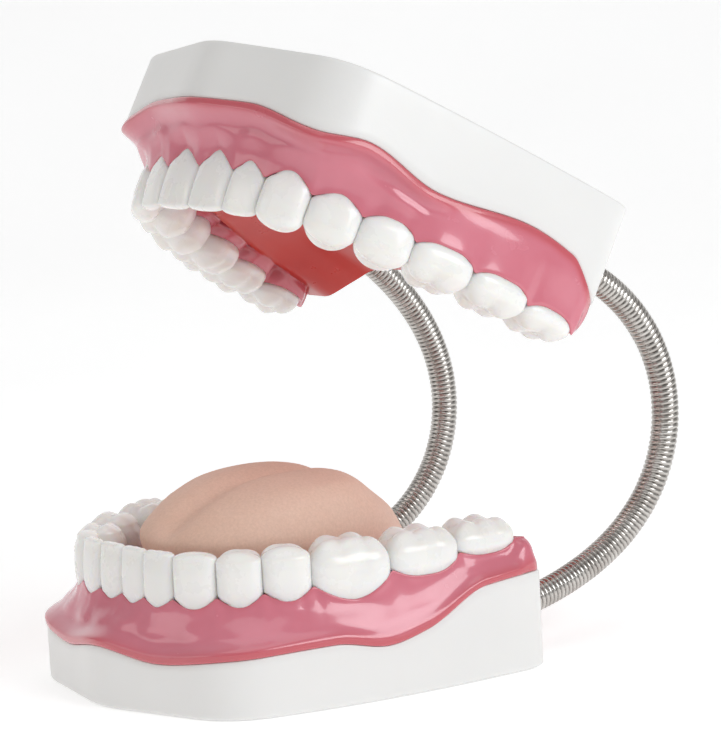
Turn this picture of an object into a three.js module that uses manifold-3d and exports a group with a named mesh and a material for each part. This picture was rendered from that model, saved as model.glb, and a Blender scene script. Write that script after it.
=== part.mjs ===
// Giant tooth-brushing demonstration jaws: a lower jaw that stands on the table and an upper jaw
// held open above it by two flexible metal goosenecks. Millimetres, +Z up, -Y is the front of the
// mouth, +X the model's own left. Origin: centre of the lower base's underside, on the table.
import * as THREE from 'three';
import { mergeVertices } from 'three/addons/utils/BufferGeometryUtils.js';
import Module from 'manifold-3d';

const wasm = await Module();
wasm.setup();

// ---- Driving dimensions -------------------------------------------------------------------------
// Each jaw is drawn in its own frame: z runs from the flat face of its base (0) to the biting edge,
// y runs back from the point between the two front teeth, x runs sideways.

const GAP = 0.35; // clearance between pieces that touch on the real model
const LOWER_FRONT_Y = -59; // where the lower jaw's front contact point stands in the part's frame

const LOWER = {
  label: 'lower',
  biteHeight: 59, // biting edge above the flat face, at the front
  biteFall: 0.025, // how much lower it is per mm further back
  arch: [[0, 0], [27.6, 3], [52.4, 24], [71, 69], [77.8, 125.5]],
  apex: -17.5,
  corner: [61.5, -1.5],
  sideBow: [84, 60],
  heel: [88.5, 135.5],
  border: [[0, 23.5], [30, 19.5], [62, 22.5], [104, 24], [126, 20.5], [143, 24], [171, 36.5],
    [198, 38], [216, 37], [240, 31.6], [300, 31.6]],
  crest: [[0, 41], [90, 44], [140, 49], [166, 50], [180, 45]],
};
const UPPER = {
  label: 'upper',
  biteHeight: 62,
  biteFall: 0.034,
  arch: [[0, 0], [37, 6], [64.3, 35], [83.7, 77.6], [89, 125.5]],
  apex: -20,
  corner: [66, -2.5],
  sideBow: [86, 62],
  heel: [96, 129.5],
  border: [[0, 24.5], [30, 23.5], [64, 29], [85, 25.7], [116, 31.3], [160, 25.8], [180, 28],
    [194, 38], [204, 42], [216, 40], [240, 31.6], [300, 31.6]],
  crest: [[0, 46], [90, 46], [140, 51], [172, 53], [184, 48]],
};

const DECK = 31; // top of each base inside the arch
const RIM = 9.5; // width of the base's rim under the skirt of the gum
const WALL = 4; // thickness of the base's side wall
const DEEP_WALL = 5.5; // and of the same wall in the deep part of the hollow
const CAVITY_DEEP = 28.8; // height of the hollow behind the front teeth
const CAVITY_SHALLOW = 14; // and under them
const BACK_HOLLOW_START = 74; // the deep part starts this far behind the front teeth
const PLATE_THICKNESS = 2.6;
const PLATE_LEDGE = 1.8;
// How far each corner of a base's outline is rounded along its sides, and how blunt the apex is.
const OUTLINE = { apexRound: 14, cornerRound: 17, heelRound: 11, apexBlunt: 1.4 };

// One row per tooth from the middle line back: width along the arch, reach to the cheek side and to
// the tongue side of the contact line, cusp rise above the contact, neck height above the flat face.
const LOWER_TEETH = [
  ['central_incisor', 13.9, 4.2, 9.5, 0.8, 38],
  ['lateral_incisor', 14.1, 4.4, 10, 1, 38],
  ['canine', 16.4, 6, 12, 1, 38],
  ['first_premolar', 16.7, 6.4, 13.5, 1.2, 38],
  ['second_premolar', 17.9, 6.6, 14.5, 2.4, 39],
  ['first_molar', 31.2, 6.6, 19.5, 3.4, 39],
  ['second_molar', 29.5, 6.4, 19.5, 3.6, 43.5],
  ['third_molar', 27, 6, 18.5, 3.6, 46.5],
];
const UPPER_TEETH = [
  ['central_incisor', 20.2, 4.4, 12.5, 1.2, 38.6],
  ['lateral_incisor', 15.2, 4.4, 12, 1.4, 40.3],
  ['canine', 18.4, 6.4, 14.5, 3.6, 37],
  ['first_premolar', 20.2, 6.6, 16, 2.6, 39.4],
  ['second_premolar', 21.2, 6.6, 17, 3.2, 41.4],
  ['first_molar', 25, 6.8, 21, 3.6, 41.5],
  ['second_molar', 25.5, 6.8, 20.5, 3.6, 43],
  ['third_molar', 24.2, 6.4, 19, 3.4, 45.5],
];
const TOOTH_SPACING = 0.7; // air between neighbouring crowns at their widest
const TOOTH_SIDES = 8;
const PEG_DEPTH = 4.5; // how far a tooth's peg reaches into the gum below its neck
// Rings of a tooth: shares of its half width and of its reach to the cheek and to the tongue side.
const PEG = { width: 0.5, cheek: 0.35, tongue: 0.55 };
const NECK_OF_TOOTH = { width: 0.66, cheek: 0.72, tongue: 0.75 };
const FRONT_EDGE = { width: 0.84, cheek: 0.3, tongue: 0.1 };
const CHEWING_FACE = { width: 0.84, cheek: 0.72, tongue: 0.8 };
const BULGE = { share: 0.62, frontDrop: 3 }; // height of the widest ring, lower on the front teeth
const SECTION = { squareness: 0.72, taper: 0.22 }; // 1 is an ellipse; narrower on the tongue side

// Sections of the gum. Out: past the teeth, on the cheek and tongue side. Clear: kept free of the
// wall of the base. Below: under the crest of the ridge.
const GUM = {
  depth: 17, // the sides run down to this height, to be cut away by the base
  skirt: 8, // reach of the foot past the teeth on the tongue side
  rim: { out: 0.5, height: 2.6, below: 5 }, // the rolled border stands out past the base
  hollow: { inCheek: 1.5, inTongue: 1, upCheek: 6, upTongue: 4, below: 4, clear: 0.8 },
  slope: { outCheek: 3.5, outTongue: 5, share: 0.7, below: 9, clear: 1.8 },
  shoulder: { outCheek: 1.6, outTongue: 2, below: 2.6, clear: 3.2 },
  crest: { cheek: 0.5, tongue: 0.6, rise: 0.4, clear: 6 }, // shares of the teeth's own reach
};

const PALATE_VAULT = 33; // lowest point of the vault's surface above the flat face
const PALATE_EDGE = 43; // height of the vault's surface where it meets the gum
const PALATE_INSET = 9.35; // its edge lies this far past the teeth on the tongue side
const PALATE_STEPS = 30;
const PALATE_SHARES = [1, 0.93, 0.8, 0.6, 0.35]; // sizes of the rings that shape the vault

// Rings of the tongue: half width, front end, back end, height and depth of the middle groove.
const TONGUE_RINGS = [
  [34, 24, 122, DECK + GAP, 0],
  [38, 19, 127, DECK + 12, 0],
  [41, 13, 126, 57, 0],
  [38, 18, 120, 66, 1],
  [32, 30, 108, 73.5, 2.5],
  [22, 46, 94, 77.5, 3.5],
];
const TONGUE_SIDES = 18;
const TONGUE_GROOVE = 14; // half width of the groove
const TONGUE_ROUND = 0.82; // 1 is an ellipse, smaller is squarer

const NECK_X = 67; // the two goosenecks stand this far either side of the middle
const NECK_RADIUS = 5.6;
const NECK_LENGTH = 206; // free length of each gooseneck between the two back faces
const NECK_TURN = THREE.MathUtils.degToRad(149.4); // total turn of each gooseneck
const NECK_FLATTENING = 0.47; // 0 bends evenly; larger values bend more in the middle
const NECK_LOWER_Z = 20; // where it leaves the lower base
const NECK_UPPER_Z = 23.3; // where it enters the upper base, above that base's flat face
const NECK_BENDS = [100, 184]; // the two bending points, as distances along each gooseneck
const NECK_SWAY = { left: 3.4, right: -1.8 }; // the slight S that each has taken, in its own plane
const NECK_SIDES = 10;
const NECK_RING_STEP = 9;
const NECK_CONE = { gap: 1.5, tip: 2.4, length: 3.8 }; // pointed ends at the bending points

const STUD_RADIUS = 3;
const STUD_LENGTH = 15;
const STUD_SIDES = 16;
const NUT_ACROSS_FLATS = 10;
const NUT_THICKNESS = 5;

const CUT = 1; // how far a cutting body passes through what it cuts
const BEYOND = 300; // larger than any piece
const SEAT_MARGIN = 3; // the cut that seats a gum on its base runs this far past the base's wall

const COLOURS = {
  base: 0xf2f1ee,
  gum: 0xd66a80,
  palate: 0xc8402f,
  tooth: 0xf4f0e6,
  tongue: 0xe6b8a0,
  steel: 0xb9b4ab,
};

// ---- Small tools --------------------------------------------------------------------------------

// Value of a smooth line through [position, value] pairs.
function along(pairs, position) {
  const last = pairs.length - 1;
  if (position <= pairs[0][0]) return pairs[0][1];
  if (position >= pairs[last][0]) return pairs[last][1];
  const i = pairs.findIndex(([p]) => p > position) - 1;
  const t = (position - pairs[i][0]) / (pairs[i + 1][0] - pairs[i][0]);
  return THREE.MathUtils.lerp(pairs[i][1], pairs[i + 1][1], THREE.MathUtils.smoothstep(t, 0, 1));
}

// Position-only geometry with shared corners and no collapsed triangles.
function weld(geometry) {
  const bare = new THREE.BufferGeometry();
  bare.setAttribute('position', geometry.getAttribute('position'));
  if (geometry.index) bare.setIndex(geometry.index);
  const merged = mergeVertices(bare, 1e-4);
  const kept = [];
  const index = merged.index.array;
  for (let i = 0; i < index.length; i += 3) {
    const [a, b, c] = [index[i], index[i + 1], index[i + 2]];
    if (a !== b && b !== c && c !== a) kept.push(a, b, c);
  }
  merged.setIndex(kept);
  return merged;
}

// Closed body through equal-sized closed rings of points. The first and last ring are capped, unless
// the ring is folded flat onto a line, which closes it already.
function loft(rings) {
  const size = rings[0].length;
  const points = rings.flat();
  const faces = [];
  for (let r = 0; r + 1 < rings.length; r++) {
    for (let i = 0; i < size; i++) {
      const [a, b] = [r * size + i, r * size + ((i + 1) % size)];
      faces.push(a, b, b + size, a, b + size, a + size);
    }
  }
  const capped = (ring) => {
    const flat = ring.map((p) => new THREE.Vector2(p.x, p.y));
    return THREE.ShapeUtils.triangulateShape(flat, []);
  };
  const folded = (ring) => (
    new Set(ring.map((p) => `${p.x.toFixed(3)},${p.y.toFixed(3)}`)).size < size);
  const top = (rings.length - 1) * size;
  if (!folded(rings[0])) for (const [a, b, c] of capped(rings[0])) faces.push(a, c, b);
  if (!folded(rings.at(-1))) {
    for (const [a, b, c] of capped(rings.at(-1))) faces.push(top + a, top + b, top + c);
  }
  const geometry = new THREE.BufferGeometry().setFromPoints(points);
  geometry.setIndex(faces);
  return weld(geometry);
}

function toSolid(geometry) {
  const welded = weld(geometry);
  return new wasm.Manifold(new wasm.Mesh({
    numProp: 3,
    vertProperties: new Float32Array(welded.getAttribute('position').array),
    triVerts: new Uint32Array(welded.index.array),
  }));
}

function toGeometry(solid) {
  const mesh = solid.getMesh();
  const geometry = new THREE.BufferGeometry();
  geometry.setAttribute('position', new THREE.BufferAttribute(new Float32Array(mesh.vertProperties), 3));
  geometry.setIndex(Array.from(mesh.triVerts));
  return geometry;
}

// Closed outline (list of Vector2) raised between two heights.
function prism(outline, low, high) {
  const shape = new THREE.Shape(outline);
  const geometry = new THREE.ExtrudeGeometry(shape, { depth: high - low, bevelEnabled: false });
  return geometry.translate(0, 0, low);
}

// The outline moved inwards (or outwards, negative) by a distance, by scaling it about its middle.
function inset(outline, distance) {
  const box = new THREE.Box2().setFromPoints(outline);
  const [middle, size] = [box.getCenter(new THREE.Vector2()), box.getSize(new THREE.Vector2())];
  const scale = new THREE.Vector2(1 - (2 * distance) / size.x, 1 - (2 * distance) / size.y);
  return outline.map((p) => p.clone().sub(middle).multiply(scale).add(middle));
}

const atHeight = (outline, height) => outline.map((p, i) => (
  new THREE.Vector3(p.x, p.y, typeof height === 'function' ? height(i) : height)));

// ---- The tooth arch and the outline of the base -------------------------------------------------

// Curve along the contacts between the teeth, measured by distance from the middle line.
class Arch {
  constructor(jaw) {
    const right = jaw.arch.slice(1).map(([x, y]) => new THREE.Vector3(x, y, 0));
    const left = right.map((p) => new THREE.Vector3(-p.x, p.y, 0)).reverse();
    this.curve = new THREE.CatmullRomCurve3([...left, new THREE.Vector3(), ...right]);
    this.curve.arcLengthDivisions = 1000;
    this.half = this.curve.getLength() / 2;
  }

  // Point, direction and outward side of the arch at a signed distance from the middle.
  at(distance) {
    const inside = THREE.MathUtils.clamp(distance, -this.half, this.half);
    const u = 0.5 + inside / (2 * this.half);
    const tangent = this.curve.getTangentAt(u);
    const point = this.curve.getPointAt(u).addScaledVector(tangent, distance - inside);
    return { point, tangent, outward: new THREE.Vector3(tangent.y, -tangent.x, 0) };
  }
}

const OUTLINE_STEP = 18; // longest edge along the straight parts
const ROUND_STEPS = 5; // edges round each curved part

// Outline of a base seen from its flat face, counter-clockwise from the apex: a blunt point at the
// front, rounded corners by the canines, bowed sides and a flat back.
function baseOutline(jaw) {
  const apex = new THREE.Vector2(0, jaw.apex);
  const corner = new THREE.Vector2(...jaw.corner);
  const bow = new THREE.Vector2(...jaw.sideBow);
  const heel = new THREE.Vector2(...jaw.heel);
  const back = new THREE.Vector2(0, heel.y);
  const toward = (from, to, distance) => (
    from.clone().add(to.clone().sub(from).setLength(distance)));
  const start = new THREE.Vector2(0, jaw.apex + OUTLINE.apexBlunt);
  const half = new THREE.Path();
  const { apexRound, cornerRound, heelRound } = OUTLINE;
  const nose = toward(apex, corner, apexRound);
  half.moveTo(start.x, start.y);
  half.quadraticCurveTo(apexRound / 2, start.y, nose.x, nose.y);
  const [c0, c1] = [toward(corner, apex, cornerRound), toward(corner, bow, cornerRound)];
  half.lineTo(c0.x, c0.y);
  half.quadraticCurveTo(corner.x, corner.y, c1.x, c1.y);
  const [h0, h1] = [toward(heel, bow, heelRound), toward(heel, back, heelRound)];
  half.quadraticCurveTo(bow.x, bow.y, h0.x, h0.y);
  half.quadraticCurveTo(heel.x, heel.y, h1.x, h1.y);
  half.lineTo(0, heel.y);
  const right = [];
  for (const curve of half.curves) {
    const steps = curve.isLineCurve ? Math.ceil(curve.getLength() / OUTLINE_STEP) : ROUND_STEPS;
    right.push(...curve.getPoints(steps).slice(1));
  }
  const left = right.slice(0, -1).reverse().map((p) => new THREE.Vector2(-p.x, p.y));
  return [start, ...right, ...left];
}

// Distance of each outline point from the apex, measured along the outline on its own side.
function outlineDistances(outline) {
  const distances = [0];
  for (let i = 1; i < outline.length; i++) {
    distances.push(distances[i - 1] + outline[i].distanceTo(outline[i - 1]));
  }
  const total = distances.at(-1) + outline.at(-1).distanceTo(outline[0]);
  return distances.map((d) => Math.min(d, total - d));
}

// Where a ray inside the outline meets it: distance from the start, and distance from the apex.
function meetOutline(outline, distances, start, direction) {
  let best = { reach: Infinity, position: 0 };
  outline.forEach((a, i) => {
    const j = (i + 1) % outline.length;
    const edge = outline[j].clone().sub(a);
    const cross = direction.x * edge.y - direction.y * edge.x;
    if (Math.abs(cross) < 1e-9) return;
    const [dx, dy] = [a.x - start.x, a.y - start.y];
    const reach = (dx * edge.y - dy * edge.x) / cross;
    const t = (dx * direction.y - dy * direction.x) / cross;
    if (reach > 0 && t >= -1e-9 && t <= 1 + 1e-9 && reach < best.reach) {
      best = { reach, position: THREE.MathUtils.lerp(distances[i], distances[j], t) };
    }
  });
  return best;
}

// ---- Teeth --------------------------------------------------------------------------------------

// Rounded-box ring of a crown: half width, reach to the cheek side and reach to the tongue side.
function toothRing(halfWidth, cheek, tongue, height) {
  const ring = [];
  for (let i = 0; i < TOOTH_SIDES; i++) {
    const angle = (2 * Math.PI * (i + 0.5)) / TOOTH_SIDES;
    const [c, s] = [Math.cos(angle), Math.sin(angle)];
    const x = Math.sign(c) * Math.abs(c) ** SECTION.squareness;
    const y = Math.sign(s) * Math.abs(s) ** SECTION.squareness;
    const depth = y > 0 ? cheek : tongue;
    const taper = y < 0 ? 1 + SECTION.taper * y : 1;
    ring.push(new THREE.Vector3(x * halfWidth * taper, y * depth, height));
  }
  return ring;
}

// One tooth with its peg, in its own frame: x along the arch, y to the cheek, z to the biting edge.
// The margin makes it larger on all sides, for the socket that holds it.
function toothGeometry([name, width, cheek, tongue, rise, neck], bite, margin = 0) {
  const half = (width - TOOTH_SPACING) / 2 + margin;
  const top = bite + rise;
  const front = name.includes('incisor') || name === 'canine';
  const bulge = THREE.MathUtils.lerp(neck, top, BULGE.share) - (front ? BULGE.frontDrop : 0);
  const ring = (share, height) => toothRing(half * share.width, (cheek + margin) * share.cheek,
    (tongue + margin) * share.tongue, height);
  return loft([
    ring(PEG, neck - PEG_DEPTH - margin),
    ring(NECK_OF_TOOTH, neck + 1),
    ring({ width: 1, cheek: 1, tongue: 1 }, bulge),
    ring(front ? FRONT_EDGE : CHEWING_FACE, top),
  ]);
}

// All sixteen teeth of a jaw: name, place on the arch and how to build them with any margin.
function teethOf(jaw, arch, table) {
  const teeth = [];
  for (const side of [-1, 1]) {
    let start = 0;
    for (const row of table) {
      const middle = start + row[1] / 2;
      start += row[1];
      const { point, tangent, outward } = arch.at(side * middle);
      const bite = jaw.biteHeight - jaw.biteFall * point.y;
      const placed = new THREE.Matrix4().makeBasis(tangent.clone().negate(), outward,
        new THREE.Vector3(0, 0, 1)).setPosition(point);
      teeth.push({ row, side, bite, placed });
    }
  }
  return teeth;
}

// ---- Gum ----------------------------------------------------------------------------------------

const GUM_STEP = 10; // spacing of the sections along the arch
const HEEL_FAN = 5; // sections around each end of the arch
const HEEL_OVERHANG = 2; // the ridge runs on this far behind the last tooth

// Sections through the gum ridge, once round the arch: along the cheek side, round one heel, back
// along the tongue side and round the other heel. Each has a foot on the arch and a direction.
function gumSections(arch) {
  const reach = arch.half + HEEL_OVERHANG;
  const count = Math.round((2 * reach) / GUM_STEP);
  const feet = Array.from({ length: count + 1 }, (_, i) => -reach + (2 * reach * i) / count);
  const cheekSide = feet.map((s) => ({ s, ...arch.at(s), turn: 0 }));
  const fan = (s, from) => Array.from({ length: HEEL_FAN }, (_, i) => (
    { s, ...arch.at(s), turn: from + (Math.PI * (i + 1)) / (HEEL_FAN + 1) }));
  const tongueSide = feet.map((s) => ({ s, ...arch.at(s), turn: Math.PI })).reverse();
  const sections = [...cheekSide, ...fan(reach, 0), ...tongueSide, ...fan(-reach, Math.PI)];
  return sections.map((section) => ({
    ...section,
    direction: section.outward.clone().applyAxisAngle(new THREE.Vector3(0, 0, 1), section.turn),
    tongueShare: (1 - Math.cos(section.turn)) / 2,
  }));
}

// How wide the teeth are to the cheek and tongue side at a distance along the arch.
const cheekReach = (s) => along([[0, 4], [40, 6], [170, 6.5]], Math.abs(s));
const tongueReach = (s) => along([[0, 10], [45, 13], [95, 20], [170, 19]], Math.abs(s));

// The gum before its sockets are cut: rings from the foot of the skirt up and over the ridge.
function gumBody(jaw, arch, outline, distances, tongueFoot) {
  const { rim, hollow, slope, shoulder, crest } = GUM;
  const sections = gumSections(arch).map(({ s, point, direction, tongueShare }) => {
    const { reach, position } = meetOutline(outline, distances, point, direction);
    const mix = (a, b) => THREE.MathUtils.lerp(a, b, tongueShare);
    const inside = (distance, clear) => Math.min(distance, reach - clear);
    const ridge = along(jaw.crest, Math.abs(s));
    const border = along(jaw.border, position);
    const [cheek, tongue] = [cheekReach(s), tongueReach(s)];
    const skirt = inside(tongue + GUM.skirt, 0);
    const side = mix(reach, skirt);
    const foot = mix(border, tongueFoot);
    const profile = [
      [0, GUM.depth],
      [side, GUM.depth],
      [side, mix(border, DECK + GAP)],
      [mix(reach + rim.out, skirt), Math.min(foot + rim.height, ridge - rim.below)],
      [inside(mix(reach - hollow.inCheek, skirt - hollow.inTongue), hollow.clear),
        mix(Math.min(border + hollow.upCheek, ridge - hollow.below), foot + hollow.upTongue)],
      [inside(mix(cheek + slope.outCheek, tongue + slope.outTongue), slope.clear),
        mix(THREE.MathUtils.lerp(border, ridge, slope.share), ridge - slope.below)],
      [inside(mix(cheek + shoulder.outCheek, tongue + shoulder.outTongue), shoulder.clear),
        ridge - shoulder.below],
      [inside(mix(cheek * crest.cheek, tongue * crest.tongue), crest.clear), ridge],
      [0, ridge + crest.rise],
    ];
    return profile.map(([out, height]) => (
      point.clone().addScaledVector(direction, out).setZ(height)));
  });
  return toSolid(loft(sections[0].map((_, k) => sections.map((section) => section[k]))));
}

// ---- Base ---------------------------------------------------------------------------------------

// Rim that stands under the edge of the gum, as a ring that is open in the middle.
function rimRing(jaw, outer, inner, distances, lowest, lift) {
  const crown = (i) => along(jaw.border, distances[i]) + lift;
  return toSolid(weld(closedTube([
    atHeight(outer, lowest), atHeight(outer, crown), atHeight(inner, crown), atHeight(inner, lowest),
  ])));
}

// Rings joined one to the next and the last back to the first.
function closedTube(rings) {
  const size = rings[0].length;
  const faces = [];
  rings.forEach((_, r) => {
    const next = ((r + 1) % rings.length) * size;
    for (let i = 0; i < size; i++) {
      const j = (i + 1) % size;
      faces.push(r * size + i, r * size + j, next + j, r * size + i, next + j, next + i);
    }
  });
  const geometry = new THREE.BufferGeometry().setFromPoints(rings.flat());
  geometry.setIndex(faces);
  return geometry;
}

// What the base fills, slightly enlarged, so that the gum can be cut to sit on it.
function baseSeat(jaw, outline, distances) {
  const rim = rimRing(jaw, inset(outline, -SEAT_MARGIN), inset(outline, RIM + GAP), distances, -CUT, 0);
  return rim.add(toSolid(prism(inset(outline, RIM - CUT - GAP), -CUT, DECK + GAP)));
}

const studAxis = (jaw) => (jaw === LOWER ? NECK_LOWER_Z : NECK_UPPER_Z);

// Cylinder along the y axis, from the back face inwards.
function backCylinder(jaw, side, radius, from, to, sides) {
  const length = to - from;
  const geometry = new THREE.CylinderGeometry(radius, radius, length, sides).rotateY(Math.PI / 6);
  return geometry.translate(side * NECK_X, jaw.heel[1] - from - length / 2, studAxis(jaw));
}

function baseShell(jaw, outline, distances) {
  const rim = rimRing(jaw, outline, inset(outline, RIM), distances, 0, -GAP);
  let shell = rim.add(toSolid(prism(inset(outline, RIM - CUT), 0, DECK)));
  shell = shell.subtract(toSolid(prism(inset(outline, WALL), -CUT, CAVITY_SHALLOW)));
  const deep = toSolid(prism(inset(outline, DEEP_WALL), CAVITY_SHALLOW - CUT, CAVITY_DEEP));
  const behind = new THREE.BoxGeometry(BEYOND, BEYOND, BEYOND);
  behind.translate(0, BACK_HOLLOW_START + BEYOND / 2, 0);
  shell = shell.subtract(deep.intersect(toSolid(behind)));
  shell = shell.subtract(toSolid(prism(inset(outline, PLATE_LEDGE), -CUT, PLATE_THICKNESS + GAP)));
  for (const side of [-1, 1]) {
    const hole = backCylinder(jaw, side, STUD_RADIUS + GAP, -CUT, DEEP_WALL + CUT, STUD_SIDES);
    shell = shell.subtract(toSolid(hole));
  }
  return shell;
}

const basePlate = (outline) => prism(inset(outline, PLATE_LEDGE + GAP), 0, PLATE_THICKNESS);

// Threaded end of a gooseneck, through the back wall, and the nut that clamps it inside.
const stud = (jaw, side) => backCylinder(jaw, side, STUD_RADIUS, GAP / 2, STUD_LENGTH, STUD_SIDES);

function lockNut(jaw, side) {
  const start = DEEP_WALL + GAP;
  const end = start + NUT_THICKNESS;
  const corner = NUT_ACROSS_FLATS / 2 / Math.cos(Math.PI / 6);
  const outside = toSolid(backCylinder(jaw, side, corner, start, end, 6));
  const hole = backCylinder(jaw, side, STUD_RADIUS + GAP, start - CUT, end + CUT, STUD_SIDES);
  return toGeometry(outside.subtract(toSolid(hole)));
}

// ---- Palate and tongue --------------------------------------------------------------------------

// Closed outline inside the arch at a distance from the contact line, closed at the back.
function insideArch(arch, distanceAt, backY, steps) {
  const points = [];
  for (let i = 0; i <= steps; i++) {
    const s = arch.half * ((2 * i) / steps - 1);
    const { point, outward } = arch.at(s);
    const place = point.clone().addScaledVector(outward, -distanceAt(s));
    if (place.y < backY - 1) points.push(new THREE.Vector2(place.x, place.y));
  }
  const [first, last] = [points[0], points.at(-1)];
  return [new THREE.Vector2(first.x, backY), ...points, new THREE.Vector2(last.x, backY)];
}

// Ring shrunk towards the line down the middle of the mouth.
const shrinkRing = (outline, share, centreY, height) => outline.map((p) => (
  new THREE.Vector3(p.x * share, centreY + (p.y - centreY) * share, height)));

function palateGeometry(arch) {
  const back = UPPER.heel[1];
  const outline = insideArch(arch, (s) => tongueReach(s) + PALATE_INSET, back, PALATE_STEPS);
  const vault = PALATE_SHARES.map((share) => shrinkRing(outline, share, back,
    THREE.MathUtils.lerp(PALATE_EDGE, PALATE_VAULT, Math.sqrt(1 - share ** 2))));
  return loft([shrinkRing(outline, 1, back, DECK + GAP), ...vault]);
}

// The tongue: a broad rounded pad with two long swellings and a groove between them.
function tongueGeometry() {
  return loft(TONGUE_RINGS.map(([width, front, back, height, groove]) => (
    Array.from({ length: TONGUE_SIDES }, (_, i) => {
      const angle = (2 * Math.PI * i) / TONGUE_SIDES;
      const [c, s] = [Math.cos(angle), Math.sin(angle)];
      const x = Math.sign(c) * Math.abs(c) ** TONGUE_ROUND * width;
      const along = Math.sign(s) * Math.abs(s) ** TONGUE_ROUND;
      const y = (front + back) / 2 + (along * (back - front)) / 2;
      const sunk = groove * Math.max(0, 1 - Math.abs(x) / TONGUE_GROOVE);
      return new THREE.Vector3(x, y, height - sunk);
    }))));
}

// ---- Goosenecks ---------------------------------------------------------------------------------

// Centre line of a gooseneck, as points at equal steps: it leaves the lower base straight back and
// curls up and forward; its curvature is smallest at both ends.
function neckLine(steps) {
  const wave = (u) => Math.sin(2 * Math.PI * u) / (2 * Math.PI);
  const heading = (u) => NECK_TURN * (u - NECK_FLATTENING * wave(u));
  const step = NECK_LENGTH / steps;
  const line = [{ y: 0, z: 0, heading: 0 }];
  for (let i = 0; i < steps; i++) {
    const middle = heading((i + 0.5) / steps);
    const { y, z } = line[i];
    const next = { y: y + step * Math.cos(middle), z: z + step * Math.sin(middle) };
    line.push({ ...next, heading: heading((i + 1) / steps) });
  }
  return line;
}

const NECK_STEPS = 600;
const NECK = neckLine(NECK_STEPS);
const NECK_START = new THREE.Vector3(0, LOWER_FRONT_Y + LOWER.heel[1], NECK_LOWER_Z);

// Point and heading of the centre line at a distance along it.
function neckAt(distance) {
  const i = Math.round((distance / NECK_LENGTH) * NECK_STEPS);
  const { y, z, heading } = NECK[THREE.MathUtils.clamp(i, 0, NECK_STEPS)];
  return { point: new THREE.Vector3(0, y, z).add(NECK_START), heading };
}

// One rigid piece of a gooseneck between two distances along it. Where it meets another piece its
// end is pointed, so that the two can bend against each other.
function neckPiece(side, from, to) {
  const sway = NECK_SWAY[side > 0 ? 'left' : 'right'];
  const start = from === 0 ? [[from + GAP, NECK_RADIUS]]
    : [[from + NECK_CONE.gap, NECK_CONE.tip], [from + NECK_CONE.length, NECK_RADIUS]];
  const end = to === NECK_LENGTH ? [[to - GAP, NECK_RADIUS]]
    : [[to - NECK_CONE.length, NECK_RADIUS], [to - NECK_CONE.gap, NECK_CONE.tip]];
  const steps = Math.ceil((to - from) / NECK_RING_STEP);
  const middle = Array.from({ length: steps - 1 }, (_, i) => (
    [THREE.MathUtils.lerp(from, to, (i + 1) / steps), NECK_RADIUS]));
  const rings = [...start, ...middle, ...end].map(([distance, radius]) => {
    const { point, heading } = neckAt(distance);
    const drift = sway * Math.sin((2 * Math.PI * distance) / NECK_LENGTH);
    return Array.from({ length: NECK_SIDES }, (_, i) => {
      const angle = (2 * Math.PI * i) / NECK_SIDES;
      const [across, up] = [radius * Math.cos(angle), radius * Math.sin(angle) + drift];
      return new THREE.Vector3(side * NECK_X + across, point.y - up * Math.sin(heading),
        point.z + up * Math.cos(heading));
    });
  });
  return tube(rings);
}

// Loft whose ends are closed by a fan, for rings that stand upright.
function tube(rings) {
  const size = rings[0].length;
  const faces = [];
  for (let r = 0; r + 1 < rings.length; r++) {
    for (let i = 0; i < size; i++) {
      const [a, b] = [r * size + i, r * size + ((i + 1) % size)];
      faces.push(a, b + size, b, a, a + size, b + size);
    }
  }
  const top = (rings.length - 1) * size;
  for (let i = 1; i + 1 < size; i++) faces.push(0, i, i + 1, top, top + i + 1, top + i);
  const geometry = new THREE.BufferGeometry().setFromPoints(rings.flat());
  geometry.setIndex(faces);
  return weld(geometry);
}

// ---- Assembly -----------------------------------------------------------------------------------

function material(colour, roughness, metalness = 0) {
  return new THREE.MeshStandardMaterial({ color: colour, roughness, metalness });
}
const MATERIALS = {
  base: material(COLOURS.base, 0.35),
  gum: material(COLOURS.gum, 0.18),
  palate: material(COLOURS.palate, 0.25),
  tooth: material(COLOURS.tooth, 0.3),
  tongue: material(COLOURS.tongue, 0.75),
  steel: material(COLOURS.steel, 0.3, 1),
};

function named(name, geometry, look) {
  const mesh = new THREE.Mesh(geometry, look);
  mesh.name = name;
  return mesh;
}

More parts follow.
